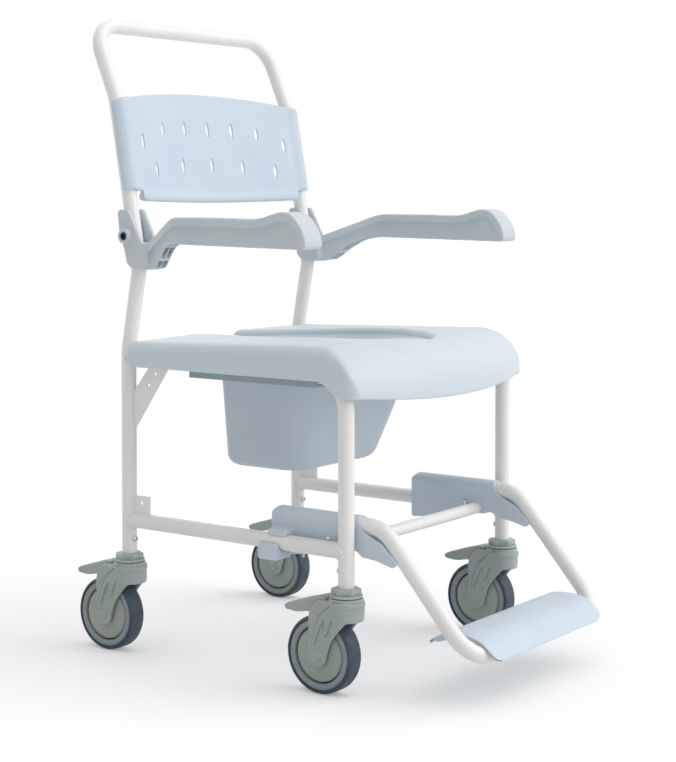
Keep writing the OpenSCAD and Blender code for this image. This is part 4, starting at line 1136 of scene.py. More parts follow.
@dataclass
class Armrest:
    """A folding armrest: two cheeks round the rear tube, a ramp outwards and a beam with a rim."""

    finishes: Finishes
    side: Side
    pivot: tuple[float, float] = (207.5, 697.0)
    leg_x: float = LEG_X
    half_w: float = 22.0
    cheek_t: float = 8.0
    offset: float = 56.0
    length: float = 411.0
    ramp: tuple[float, float] = (45.0, 152.0)
    under: float = -9.0
    rim: float = 12.5
    recess: float = 8.0
    boss_r: float = 12.6
    boss_h: float = 8.0
    head_r: float = 7.0
    bolt_r: float = 4.2
    cell_pitch: float = 31.0
    cell_x: float = 6.2
    cell_half: float = 5.0
    cell_roof: float = 14.0
    cell_span: tuple[float, float] = (54.0, 396.0)
    rib_half: float = 1.3
    band_edge: float = 0.6
    rim_edge: float = 2.4
    web_edge: float = 1.5
    cell_edge: float = 0.8
    cheek_edge: float = 3.0
    boss_edge: float = 2.0
    head_edge: float = 0.6
    bore_edge: float = 0.3
    web_fillet: float = 0.8
    bridge_fillet: float = 3.0
    arm_fillet: float = 5.0
    boss_fillet: float = 1.2
    head_rise: float = 2.5
    room_low: tuple[float, float, float] = (30.0, 6.0, 62.0)
    room_high: tuple[float, float, float] = (28.0, 30.0, 50.0)
    step: tuple[float, float, float] = (1.15, 1.5, 1.15)

    def cheek(self) -> Array:
        """Outline of a cheek, forward and up from the pivot."""
        corners = [(-21.8, 44.0), (4.0, 44.0), (18.8, 15.3), (30.0, -6.0), (35.6, -11.4),
                   (46.0, -15.0), (49.5, -46.0), (43.0, -54.0), (12.0, -55.0), (-1.0, -44.0),
                   (-5.9, -23.0), (-16.8, 7.4)]
        return round_corners(corners, 9.0, 4)

    def top_line(self) -> Array:
        """The upper edge from the bottom of the V up the ramp, along the beam and over the nose."""
        ramp = rounded_path([(36.0, -14.5), (41.6, -12.4), (146.0, 32.5), (241.0, 32.3)],
                            [8.0, 66.0], 8)[:-1]
        beam = smooth_line([(241.0, 32.3), (296.0, 31.0), (322.0, 32.2), (346.0, 38.4),
                            (364.0, 42.2), (382.0, 39.3), (396.6, 27.0), (406.5, 12.5),
                            (self.length, -2.0)], 5)
        return np.concatenate([ramp, beam])

    def silhouette(self) -> Array:
        """Outline of ramp and beam: the upper edge, the nose and the curved underside."""
        nose = [(self.length, -8.5), (408.0, -13.4), (400.0, self.under - 5.5)]
        under = smooth_line([(140.0, self.under - 1.0), (112.0, -15.0), (88.0, -30.0),
                             (70.0, -46.0)], 4)
        return np.concatenate([self.top_line(), nose, under, [(60.0, -52.5), (40.0, -53.5)]])

    def centre(self, f: Array) -> Array:
        """Middle of the arm's width: over the tube at the cheeks, further out on the beam."""
        a, b = self.ramp
        t = np.clip((f - a) / (b - a), 0.0, 1.0)
        return self.leg_x + self.offset * (0.25 * ease(t) + 0.75 * t)

    def cells(self, x: Array, f: Array, u: Array) -> Array:
        """Distance to the open cells under the arm, two wide, with ribs between them."""
        row = f - self.cell_pitch * np.round(f / self.cell_pitch)
        column = np.abs(x) - self.cell_x
        flat = np.maximum(np.abs(row) - 0.5 * self.cell_pitch + self.rib_half,
                          np.abs(column) - self.cell_half)
        ramp_roof = -22.0 + 0.55 * (f - 60.0)
        tall = u - np.minimum(ramp_roof, self.cell_roof)
        return np.maximum(np.maximum(flat, tall), slab(f, *self.cell_span))

    def solid(self) -> Surface:
        """The moulding as distances: rim, web, cheeks, bridge and boss, less cells and bore."""
        y0, z0 = self.pivot
        (inside, ahead, below), (outside, behind, above) = self.room_low, self.room_high
        box = Lattice((self.leg_x - inside, y0 - self.length - ahead, z0 - below),
                      (self.leg_x + self.offset + outside, y0 + behind, z0 + above), self.step)
        x, y, z = box.axes()
        f, u = y0 - y, z - z0
        flat = in_outline(self.silhouette(), f, u)
        lateral = np.abs(x - self.centre(f))
        edge = from_line(self.top_line(), f, u)
        band = common(flat, edge - self.rim, self.band_edge)
        band = prism(band, lateral - self.half_w, self.rim_edge)
        web = prism(flat, lateral - self.half_w + self.recess, self.web_edge)
        arm = union(band, web, self.web_fillet)
        arm = cut(arm, self.cells(x - self.centre(f), f, u), self.cell_edge)
        off, inner = x - self.leg_x, self.half_w - self.cheek_t
        plates = prism(in_outline(self.cheek(), f, u), slab(np.abs(off), inner, self.half_w),
                       self.cheek_edge)
        bridge_line = round_corners([(17.0, -9.0), (35.6, -11.4), (46.0, -15.0), (49.5, -46.0),
                                     (43.0, -54.0), (26.0, -54.0)], 5.0, 3)
        bridge = prism(in_outline(bridge_line, f, u), np.abs(off) - self.half_w, self.cheek_edge)
        whole = union(arm, union(plates, bridge, self.bridge_fillet), self.arm_fillet)
        radial = np.hypot(f, u)
        boss = prism(radial - self.boss_r, slab(off, 0.0, self.half_w + self.boss_h),
                     self.boss_edge)
        whole = union(whole, np.maximum(boss, inner - off), self.boss_fillet)
        sunk = np.maximum(radial - self.head_r, self.half_w + self.head_rise - off)
        whole = cut(whole, sunk, self.head_edge)
        return box.skin(cut(whole, radial - self.bolt_r, self.bore_edge))

    def bolt(self) -> Surface:
        """The pivot bolt: a socket head sunk in the boss, a shank and a nut with a domed end."""
        out = self.half_w + 2.8
        head = [(4.0, 1.0 - self.half_w), (4.0, out), (6.4, out), (6.4, out + 3.6),
                (5.7, out + 4.4), (3.3, out + 4.5), (3.1, out + 1.0), (0.3, out + 0.8)]
        back = self.half_w + 0.4
        nut = [(6.8, back), (6.8, back + 3.0), (6.0, back + 4.0), (4.0, back + 4.2),
               (3.6, back + 5.6), (1.8, back + 6.2), (0.2, back + 6.3)]
        at = (self.leg_x, *self.pivot)
        ends = [turned(head, at, (1, 0, 0), 48), turned(nut, at, (-1, 0, 0), 6)]
        return joined(ends).mirrored(self.side)

    def build(self) -> None:
        """Makes the armrest and its pivot bolt."""
        word = self.side.word
        make_piece(f"armrest_{word}.moulding", self.solid().mirrored(self.side), f"arm_{word}",
                   self.finishes.arm, [f"armrest_{word}"])
        make_piece(f"arm_bolt_{word}.screw", self.bolt(), "frame", self.finishes.socket,
                   [f"arm_bolt_{word}"])


# Pan and its rails


@dataclass
class Pan:
    """The pan that slides out to the rear on two rails under the seat."""

    finishes: Finishes
    flange_z: float = 465.6
    wall: float = 3.0
    size: tuple[float, float] = (280.0, 226.0)
    flange_w: float = 356.8
    depth: float = 155.0
    side_draft: float = 17.0
    front_draft: float = 64.0
    corner_r: float = 50.0
    rear_share: float = 0.56
    flange_r: float = 8.0
    flange_bulge: float = 0.3
    floor_r: float = 18.0
    floor_share: float = 0.55
    floor_corner_r: float = 12.0
    floor_crown: float = 1.5

    def oblong(self, half: float, ends: Point, radii: Point, z: float) -> Array:
        """A rounded rectangle at a height.

        Args:
            half: Half its width.
            ends: Places of its front and rear edges.
            radii: Radius of its front corners and of its rear corners.
            z: Its height.

        Returns:
            The points of the ring.
        """
        turn = np.linspace(0.0, 2.0 * math.pi, 97)[:-1]
        turn = turn + 0.5 * (turn[1] - turn[0])
        cx, sy = np.cos(turn), np.sin(turn)
        r = np.where(sy > 0, radii[1], radii[0])
        x = np.where(cx > 0, half - r, r - half) + r * cx
        y = np.where(sy > 0, ends[1] - r, ends[0] + r) + r * sy
        return np.stack([x, y, np.full_like(x, z)], axis=1)

    def ring(self, inset: float, z: float, share: float, radius: float | None = None) -> Array:
        """A ring of the tub's wall or floor.

        Args:
            inset: Distance inside the tub's outer face.
            z: Height of the ring.
            share: How far down the draft the ring lies, from 0 at the rim to 1 at the bottom.
            radius: Radius of all corners, in place of the tub's own.

        Returns:
            The points of the ring.
        """
        half, reach = 0.5 * self.size[0] - self.side_draft * share, 0.5 * self.size[1]
        own = self.corner_r - inset
        radii = (own, self.rear_share * own) if radius is None else (radius, radius)
        ends = (self.front_draft * share - reach + inset, reach - inset)
        return self.oblong(half - inset, ends, radii, z)

    def floor_rings(self, inset: float) -> list[Array]:
        """Rings from the middle of the floor round its edge, outside or a wall further in."""
        low, r = self.flange_z - self.depth + inset, self.floor_r - inset
        middle = 0.5 * self.floor_share * self.size[1]
        rings = [self.ring(middle, low + self.floor_crown, 1.0, self.floor_corner_r)]
        for turn in np.linspace(0.0, 0.5 * math.pi, 8):
            rise = r * (1.0 - math.cos(turn))
            rings.append(self.ring(inset + r * (1.0 - math.sin(turn)), low + rise,
                                   1.0 - rise / self.depth))
        return rings

    def tub(self) -> Surface:
        """The tub: rings up the outside, out over the flange and down the inside."""
        half, reach = 0.5 * self.flange_w, 0.5 * self.size[1]
        radii, high = (self.flange_r, self.flange_r), self.flange_z + self.wall
        rings = self.floor_rings(0.0)
        for share in np.linspace(0.85, 0.0, 14):
            rings.append(self.ring(0.0, self.flange_z - self.depth * share, share))
        for up, out in ((0.0, 0.0), (0.5, self.flange_bulge), (1.0, 0.0)):
            rings.append(self.oblong(half + out, (-reach - out, reach + out), radii,
                                     self.flange_z + up * self.wall))
        for share in np.linspace(0.0, 0.85, 12):
            rings.append(self.ring(self.wall, high - (self.depth + self.wall) * share, share))
        return lofted(np.stack(rings + self.floor_rings(self.wall)[::-1]))

    def build(self) -> None:
        """Makes the pan and dresses the rails that carry it."""
        make_piece("pan.tub", self.tub(), "pan_body", self.finishes.pan, ["pan"])
        for side in Side:
            dress_node(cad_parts[f"pan_rail_{side.word}"], self.finishes.rail)


# Footrest


@dataclass
class Footrest:
    """The footrest: its tube, the cross tube, and the hooded brackets that hang it on the rails."""

    finishes: Finishes
    tube_r: float = TUBE_R
    tube_gap: float = 0.25
    cross_r: float = 10.0
    foot_x: float = 200.0
    foot_z: float = 259.0
    tail_y: float = -68.0
    bend_y: float = -269.0
    bar: tuple[float, float] = FOOT_BAR
    bend_r: float = 50.0
    cross: tuple[float, float] = (-199.0, 226.0)
    wall: float = 3.0
    rail: tuple[float, float] = (LEG_X, LOWER_Z)
    hook_r: float = 13.1
    hook_t: float = 7.0
    hook_edge: float = 4.0
    upper_hook_y: tuple[float, float] = (-113.0, -76.0)
    lower_hook_y: tuple[float, float] = (-103.0, -65.0)
    upper_reach: float = 9.0
    lower_drop: float = 27.0
    side_x: float = 214.0
    rib_y: tuple[float, float] = (-131.0, -128.0)
    rib_z: tuple[float, float] = (200.0, 216.0)
    rib_w: float = 5.0
    bolt: tuple[float, float] = (-176.5, 233.0)
    hood_edge: float = 1.0
    bore_edge: float = 0.8
    rib_edge: float = 0.6
    hook_fillet: float = 3.0
    rib_fillet: float = 1.5
    hook_sink: float = 1.0
    box_in: float = 19.0
    box_out: float = 24.0
    box_y: tuple[float, float] = (-311.0, -60.0)
    box_z: tuple[float, float] = (191.0, 279.0)
    step: tuple[float, float, float] = (1.15, 1.6, 1.3)

    def tube(self) -> Surface:
        """The tube from the rear end of one arm round the foot bar to the other."""
        half = [(-self.foot_x, self.tail_y, self.foot_z), (-self.foot_x, self.bend_y, self.foot_z),
                (-self.foot_x, *self.bar)]
        corners = half + [(-a, b, c) for a, b, c in half[::-1]]
        return swept(rounded_path(corners, [self.bend_r] * 4), self.tube_r, (0, 0, 1))

    def outline(self) -> Array:
        """Outline of a bracket from its side, with its curved front flap."""
        corners = [(-64.9, 196.0), (-109.9, 202.0), (-201.0, 217.0), (-214.0, 217.0),
                   (-228.0, 222.0), (-240.0, 213.0), (-266.0, 210.5), (-296.0, 203.0),
                   (-305.5, 209.0), (-276.0, 237.0), (-256.0, 246.0), (-243.0, 252.0),
                   (-236.0, 264.0), (-231.0, 274.8), (-73.0, 274.8), (-64.9, 266.0)]
        return round_corners(corners, 7.0, 4)

    def bracket(self) -> Surface:
        """A bracket as distances: a hood over the tube, closed behind, with two hooks."""
        rx, rz = self.rail
        (y0, y1), (z0, z1) = self.box_y, self.box_z
        box = Lattice((self.foot_x - self.box_in, y0, z0), (rx + self.box_out, y1, z1), self.step)
        x, y, z = box.axes()
        over = np.hypot(x - self.foot_x, np.maximum(z - self.foot_z, 0.0))
        inside = np.maximum(over - self.tube_r - self.tube_gap, y - self.tail_y)
        hood = prism(in_outline(self.outline(), y, z), over - self.tube_r - self.wall, self.hood_edge)
        whole = cut(hood, inside, self.bore_edge)
        grip, near = self.hook_r + self.hook_t, self.side_x
        hooks = (
            ((near, rx + self.upper_reach), self.upper_hook_y, (rz, rz + grip)),
            ((near - self.hook_sink, rx + grip), self.lower_hook_y, (rz - self.lower_drop, rz)),
        )
        for spans in hooks:
            whole = union(whole, self.block((x, y, z), spans), self.hook_fillet)
        whole = cut(whole, np.hypot(x - rx, z - rz) - self.hook_r, self.bore_edge)
        rib_low, rib_high = self.rib_z
        rib = prism(np.maximum(slab(y, *self.rib_y), rib_low - z),
                    slab(x, near, near + self.rib_w), self.rib_edge)
        return box.skin(union(whole, np.maximum(rib, z - rib_high), self.rib_fillet))

    def block(self, axes: Sequence[Array], spans: Sequence[Point]) -> Array:
        """Distance to a block that spans two places on each axis, with rounded edges."""
        r = self.hook_edge
        sides = [slab(v, *span) + r for v, span in zip(axes, spans)]
        reach = np.sqrt(sum(np.maximum(s, 0.0) ** 2 for s in sides))
        return reach + np.minimum(np.maximum(np.maximum(*sides[:2]), sides[2]), 0.0) - r

    def bolts(self) -> Surface:
        """The two bolts across the brackets, each with a head inside and a domed nut outside."""
        half = self.tube_r + self.wall
        head = [(3.0, -half - 2.4), (3.0, half), (5.4, half), (5.4, half + 2.0),
                (4.2, half + 3.2), (2.6, half + 3.3), (2.4, half + 1.4), (0.2, half + 1.2)]
        nut = [(4.6, half), (4.6, half + 1.2), (3.2, half + 2.4), (0.3, half + 2.7)]
        parts = []
        for side in Side:
            at = (side.value * self.foot_x, *self.bolt)
            parts.append(turned(head, at, (-side.value, 0, 0), 32))
            parts.append(turned(nut, at, (side.value, 0, 0), 24))
        return joined(parts)

    def build(self) -> None:
        """Makes the footrest's pieces."""
        make_piece("foot_tube.tube", self.tube(), "footrest", self.finishes.paint,
                   ["foot_tube"])
        half = self.foot_x - self.tube_r - self.wall
        line = np.linspace((-half, *self.cross), (half, *self.cross), 12)
        cross = swept(line, self.cross_r, (0, 0, 1), 36)
        make_piece("foot_cross_tube.tube", cross, "footrest", self.finishes.paint,
                   ["foot_cross_tube"])
        bracket = self.bracket()
        for side in Side:
            make_piece(f"foot_bracket_{side.word}.moulding", bracket.mirrored(side), "footrest",
                       self.finishes.foot, [f"foot_bracket_{side.word}"])
        make_piece("bracket_bolts.heads", self.bolts(), "footrest", self.finishes.steel,
                   ["bracket_bolts"])


@dataclass
class Footplate:
    """The arched footplate with the clips and ribs that turn on the foot bar."""

    finishes: Finishes
    bar: tuple[float, float] = FOOT_BAR
    half_w: float = 169.0
    thick: float = 3.0
    corner_r: float = 16.0
    edge: float = 0.6
    clip_x: float = 100.0
    clip_w: float = 22.0
    clip_r: float = 15.6
    clip_sink: float = 2.2
    bar_r: float = 12.55
    rib_x: float = 152.0
    rib_t: float = 3.0
    rib_sink: float = 2.0

    def line(self) -> Array:
        """The plate's upper line from its front edge over the crown to its rear edge."""
        return smooth_line([(-26.0, -4.0), (-14.0, 11.7), (4.0, 23.7), (30.0, 28.5), (68.0, 25.1),
                            (100.0, 6.0)], 9)

    def plate(self) -> Surface:
        """The plate: its upper line and the same line moved in by its thickness, carried across.

        Across the plate the points lie at equal shares of a half width, which is drawn in near the
        front and rear edges by a quarter circle, so that the corners are round.

        Returns:
            The closed shell.
        """
        line = self.line()
        along = unit(np.gradient(line, axis=0))
        normal = np.stack([-along[:, 1], along[:, 0]], axis=1)
        run = np.concatenate([[0.0], np.cumsum(np.linalg.norm(np.diff(line, axis=0), axis=1))])
        near = np.minimum(np.minimum(run, run[-1] - run), self.corner_r) / self.corner_r
        drawn_in = 1.0 - np.sqrt(np.maximum(1.0 - (1.0 - near) ** 2, 0.0))
        half = self.half_w - self.corner_r * drawn_in
        turn, r = np.linspace(0.5 * math.pi, -0.5 * math.pi, 7)[:, None], 0.5 * self.thick
        out, down = r * np.cos(turn), r * (1.0 - np.sin(turn))
        front = line[0] - along[0] * out - normal[0] * down
        rear = line[-1] + along[-1] * out - normal[-1] * down
        under = line - normal * self.thick
        ring = np.concatenate([line[1:-1], rear, under[-2:0:-1], front[::-1]])
        widths = np.concatenate([half[1:-1], np.full(len(rear), half[-1]), half[-2:0:-1],
                                 np.full(len(front), half[0])])
        x = np.concatenate([[-1.0], np.linspace(-0.995, 0.995, 60), [1.0]])
        inset = np.where(np.abs(x) == 1.0, self.edge, 0.0)
        flat = ring[None] - inset[:, None, None] * unit(ring - ring.mean(axis=0))[None]
        y, z = self.bar
        return lofted(np.stack([x[:, None] * widths[None], y + flat[..., 0], z + flat[..., 1]],
                               axis=-1))

    def underside(self, sink: float, first: float, last: float) -> Array:
        """A stretch of the plate's line, sunk into its thickness."""
        under = self.line() - [0.0, sink]
        return under[(under[:, 0] > first) & (under[:, 0] < last)]

    def clip(self, x0: float) -> Surface:
        """A clip as distances: a ring round the bar, fused to a block that reaches the plate."""
        y0, z0 = self.bar
        box = Lattice((x0 - 14.0, y0 - 22.0, z0 - 20.0), (x0 + 14.0, y0 + 66.0, z0 + 30.0),
                      (1.2, 1.2, 1.2))
        x, y, z = box.axes()
        radial, wide = np.hypot(y - y0, z - z0), np.abs(x - x0) - 0.5 * self.clip_w
        ring = prism(radial - self.clip_r, wide, 1.0)
        outline = np.concatenate([self.underside(self.clip_sink, -13.0, 58.0),
                                  [(52.0, 12.0), (18.0, -4.0), (-12.0, -4.0)]]) + [y0, z0]
        block = prism(in_outline(outline, y, z), wide, 0.8)
        return box.skin(cut(union(ring, block, 3.0), radial - self.bar_r, 0.4))

    def rib(self, x0: float) -> Surface:
        """A thin rib under the plate near its end, from the plate's underside to a hollow edge."""
        low = smooth_line([(88.0, 6.0), (60.0, 15.0), (34.0, 17.5), (20.0, 13.0), (13.5, 3.0)], 4)
        outline = np.concatenate([self.underside(self.rib_sink, -20.0, 92.0), low,
                                  [(-13.5, 3.0)]]) + self.bar
        faces = (x0 - 0.5 * self.rib_t, x0 + 0.5 * self.rib_t)
        return lofted(np.stack([np.insert(outline, 0, x, axis=1) for x in faces]))

    def build(self) -> None:
        """Makes the plate with its clips and ribs as one piece."""
        parts = [self.plate()]
        for side in Side:
            parts += [self.clip(side.value * self.clip_x), self.rib(side.value * self.rib_x)]
        make_piece("footplate.moulding", joined(parts), "foot_flap",
                   self.finishes.foot, ["footplate"], 45.0)


# Casters


@dataclass
class Caster:
    """A braked caster: collar, fork, wheel, axle caps and brake pedal."""

    finishes: Finishes
    end: End
    side: Side
    leg_x: float = LEG_X
    leg_y: float = LEG_Y
    wheel_r: float = 61.0
    tyre_w: float = 32.0
    tyre_t: float = 5.5
    trail: float = 42.0
    head_z: float = 126.0
    head_h: float = 27.0
    head_r: float = 26.5
    flange_z: float = 154.0
    hex_z: float = 158.0
    top_z: float = 168.0
    hex_r: float = 24.0
    hex_trim: float = 0.975
    head_sink: float = 8.0
    step_out: float = 1.2
    step_drop: float = 9.0
    cheek: tuple[float, float] = (18.0, 24.0)
    bulge: float = 1.2
    bulge_z: tuple[float, float] = (80.0, 130.0)
    crown_z: float = 127.5
    crown_out: float = 0.6
    boss_r: float = 16.0
    well_gap: float = 3.4
    band_h: float = 2.2
    band_root: float = 3.0
    head_band: tuple[float, float, float] = (139.5, 145.5, 2.6)
    seam_off: float = 1.0
    seam_r: float = 1.1
    seam_y: float = -4.0
    ring_r: float = 9.6
    groove_r: float = 0.7
    mark_y: float = 101.0
    mark_z: float = 122.0
    mark_half: float = 0.9
    mark_depth: float = 1.6
    hollow_inset: float = 3.2
    pin: tuple[float, float] = (34.0, 139.5)
    pin_r: float = 2.5
    pin_half: float = 24.5
    head_edge: float = 2.0
    cheek_edge: float = 2.6
    crown_edge: float = 3.0
    side_edge: float = 1.5
    well_edge: float = 1.5
    band_edge: float = 0.7
    seam_edge: float = 0.3
    groove_edge: float = 0.4
    step_fillet: float = 0.8
    crown_fillet: float = 4.0
    cheek_fillet: float = 3.0
    band_fillet: float = 0.3
    pedal_edge: float = 2.2
    mark_edge: float = 0.3
    hollow_edge: float = 0.6
    pin_fillet: float = 0.6
    fork_from: tuple[float, float, float] = (-31.0, -32.0, 40.0)
    fork_to: tuple[float, float, float] = (31.0, 64.0, 157.0)
    step: tuple[float, float, float] = (0.95, 0.95, 0.95)
    pedal_from: tuple[float, float, float] = (-27.0, 24.0, 118.0)
    pedal_to: tuple[float, float, float] = (27.0, 121.0, 156.0)
    pedal_step: tuple[float, float, float] = (1.1, 1.2, 1.1)

    def word(self) -> str:
        """The caster's place as the frame's names give it."""
        return f"{self.end.name.lower()}_{self.side.word}"

    def place(self, surface: Surface) -> Surface:
        """A surface drawn about the swivel axis, moved under its leg."""
        return surface.moved((self.side.value * self.leg_x, self.end.value * self.leg_y, 0.0))

    def collar(self) -> Surface:
        """The collar: rings that pass from a round flange to a hexagon with a bevelled top.

        A hexagon's radius at an angle is its half width over the cosine of the angle to the
        middle of the nearest flat, cut off a little at its corners.

        Returns:
            The collar round the leg's foot.
        """
        turn = np.linspace(0.0, 2.0 * math.pi, 96, endpoint=False)
        off = np.mod(turn, math.pi / 3.0) - math.pi / 6.0
        hexagon = self.hex_r * math.cos(math.pi / 6.0) / np.cos(off)
        hexagon = np.minimum(hexagon, self.hex_trim * self.hex_r)
        low, mid, top = self.flange_z, self.hex_z, self.top_z
        flange = [(24.0, low), (25.2, low + 0.8), (25.2, mid - 1.0), (24.4, mid - 0.2), (23.9, mid)]
        six = [(-0.4, mid + 0.3), (0.0, mid + 0.8), (0.0, top - 2.4), (-0.5, top - 1.2),
               (-3.2, top - 0.1), (-4.2, top)]
        mouth = [(13.6, top + 0.1), (12.4, top + 0.1)]
        rings = []
        for rows, shape in ((flange, 0.0 * turn), (six, hexagon), (mouth, 0.0 * turn)):
            for size, height in rows:
                r = shape + size
                rings.append(np.stack([r * np.cos(turn), r * np.sin(turn),
                                       np.full_like(turn, height)], axis=1))
        return lofted(np.stack(rings))

    def fork_outline(self) -> Array:
        """Outline of a fork cheek: round the axle's boss, up the rear and down the front."""
        arc = np.linspace(math.pi, 2.0 * math.pi, 17)
        y0, r = self.trail - 2.5, self.boss_r + 1.0
        boss = np.stack([y0 + r * np.cos(arc), self.wheel_r + r * np.sin(arc)], 1)
        rear = smooth_line([(56.4, 64.0), (55.6, 80.0), (54.8, 97.0), (55.4, 110.0), (54.0, 124.0),
                            (46.0, 138.0), (36.0, 147.0)], 4)
        front = smooth_line([(-18.0, 147.0), (-20.5, 134.0), (-19.5, 124.0), (-12.0, 116.0),
                             (-3.4, 107.2), (5.9, 96.4), (14.6, 83.8), (19.4, 70.0),
                             (22.4, 62.0)], 4)
        return np.concatenate([boss, rear, front])

    def band(self) -> Array:
        """Outline of the raised band on a cheek, from the head down to its two prongs."""
        outer = smooth_line([(2.5, 145.2), (12.9, 140.1), (23.3, 131.7), (30.2, 125.1),
                             (37.2, 112.7), (42.5, 99.1), (46.9, 80.0)], 3)
        fork = [(42.5, 79.9), (39.9, 89.3), (37.2, 96.0), (32.0, 108.2), (24.1, 119.5),
                (22.4, 109.5), (23.3, 101.7), (25.9, 96.9)]
        inner = smooth_line([(21.5, 96.2), (18.9, 99.8), (12.9, 114.6), (6.8, 125.6), (0.8, 132.7),
                             (-7.9, 138.3), (-18.1, 141.5)], 3)
        return np.concatenate([outer, fork, inner, [(-18.0, 148.0), (2.5, 148.0)]])

    def fork(self) -> Surface:
        """The fork as distances: head, crown and two cheeks fused, with ridges and a wheel well."""
        box = Lattice(self.fork_from, self.fork_to, self.step)
        x, y, z = box.axes()
        out = np.hypot(x, y) - self.head_r
        foot, top = self.head_z - self.head_sink, self.head_z + self.head_h
        head = prism(out, slab(z, foot, top), self.head_edge)
        step = prism(out - self.step_out, slab(z, foot, top - self.step_drop), self.head_edge)
        flat = in_outline(self.fork_outline(), y, z)
        (low, high), (z0, z1) = self.cheek, self.bulge_z
        bulge = self.bulge * ease((z - z0) / (z1 - z0))
        cheeks = prism(flat, slab(np.abs(x), low, high + bulge), self.cheek_edge)
        crown = prism(np.maximum(flat, self.crown_z - z), np.abs(x) - high, self.crown_edge)

        def behind(limit: float) -> Array:
            """Distance to what lies within a limit of the head, or anywhere behind its axis."""
            return np.where(y < 0.0, out - limit, INSIDE)

        sides = union(crown, cheeks, self.crown_fillet)
        sides = common(sides, behind(self.crown_out), self.side_edge)
        whole = union(union(head, step, self.step_fillet), sides, self.cheek_fillet)
        ring = np.hypot(y - self.trail, z - self.wheel_r)
        well = np.maximum(ring - self.wheel_r - self.well_gap, np.abs(x) - low)
        whole = cut(whole, well, self.well_edge)
        side, near = np.abs(x) - high - bulge, in_outline(self.band(), y, z)
        band_low, band_high, band_out = self.head_band
        band = prism(near, np.maximum(side - self.band_h, -side - self.band_root), self.band_edge)
        band = np.maximum(band, behind(band_out))
        head_band = prism(out - band_out, slab(z, band_low, band_high), self.band_edge)
        whole = union(whole, np.minimum(band, head_band), self.band_fillet)
        seam = np.maximum(np.hypot(near - self.seam_off, side) - self.seam_r, self.seam_y - y)
        groove = np.hypot(ring - self.ring_r, side) - self.groove_r
        return box.skin(cut(cut(whole, seam, self.seam_edge), groove, self.groove_edge))

    def wheel_profile(self) -> tuple[list[Point], list[Point], list[Point], list[Point]]:
        """Profiles of radius and width for the disc, the ring of painted shade in the gap, the rim
        ring and the tyre.
        """
        disc = [(4.3, 17.0), (10.5, 17.0), (11.6, 16.2), (12.4, 15.9), (15.0, 15.6), (22.0, 15.4),
                (30.0, 15.0), (38.0, 14.2), (41.2, 12.8), (42.7, 10.4), (43.0, 6.0)]
        # Tyre rubber seen in the gap between disc and rim; its near-black finish is painted shade.
        gap = [(42.0, 6.0), (46.0, 6.0)]
        inner, outer = 44.8, self.wheel_r - self.tyre_t + 0.2
        rim = [(inner, 12.6), (inner + 0.7, 14.4), (inner + 1.6, 15.0), (outer - 2.8, 15.0),
               (outer - 1.4, 14.4), (outer - 0.4, 13.0)]
        r, w, turn_r = self.wheel_r - 0.25, 0.5 * self.tyre_w, 5.2
        shoulder = [(r - turn_r * (1.0 - math.cos(t)), w - turn_r * (1.0 - math.sin(t)))
                    for t in np.linspace(0.5 * math.pi, 0.0, 9)]
        tyre = [(outer - 0.6, w - 2.6), (outer + 0.2, w - 0.6), *shoulder, (r, 6.0)]

        def whole(half: list[Point], *middle: Point) -> list[Point]:
            """Half a profile, the points between and the half's mirror image."""
            return [*half, *middle, *((radius, -width) for radius, width in half[::-1])]

        return whole(disc), whole(gap), whole(rim), whole(tyre, (self.wheel_r, 0.0))

    def pedal(self) -> Surface:
        """The brake pedal as distances: a hollowed wedge that tapers to a marked tip."""
        box = Lattice(self.pedal_from, self.pedal_to, self.pedal_step)
        x, y, z = box.axes()
        outline = [(28.6, 133.0), (28.6, 151.4), (40.0, 152.4), (58.0, 147.0), (75.5, 142.2),
                   (93.0, 136.6), (107.0, 132.0), (112.5, 128.6), (112.5, 124.8), (108.0, 121.6),
                   (88.0, 120.9), (76.0, 122.7), (66.0, 125.2), (52.3, 126.2), (37.4, 131.4)]
        half = np.interp(y, [24.0, 58.0, 102.0, 112.0], [16.0, 16.0, 11.2, 9.6])
        wide = np.abs(x) - half
        body = prism(in_outline(round_corners(outline, 3.0, 3), y, z), wide, self.pedal_edge)
        edges = np.minimum(-self.mark_depth - wide, z - self.mark_z)
        mark = np.maximum(np.abs(y - self.mark_y) - self.mark_half, edges)
        body = cut(body, mark, self.mark_edge)
        hollow = in_outline([(44.0, 149.8), (92.0, 135.6), (92.0, 152.0), (44.0, 164.0)], y, z)
        body = cut(body, np.maximum(hollow, wide + self.hollow_inset), self.hollow_edge)
        pin_y, pin_z = self.pin
        pin = np.hypot(y - pin_y, z - pin_z) - self.pin_r
        pin = np.maximum(pin, np.abs(x) - self.pin_half)
        return box.skin(union(body, pin, self.pin_fillet))

    def caps(self) -> Surface:
        """The two ends of the axle: low round caps with a ring pressed into them."""
        out = self.cheek[1]
        profile = [(8.6, out - 0.4), (8.6, out + 0.8), (7.8, out + 1.5), (6.4, out + 1.6),
                   (6.0, out + 1.2), (5.4, out + 1.2), (5.0, out + 1.6), (0.3, out + 1.8)]
        at = (0.0, self.trail, self.wheel_r)
        return joined([turned(profile, at, (sign, 0, 0), 48) for sign in (1, -1)])

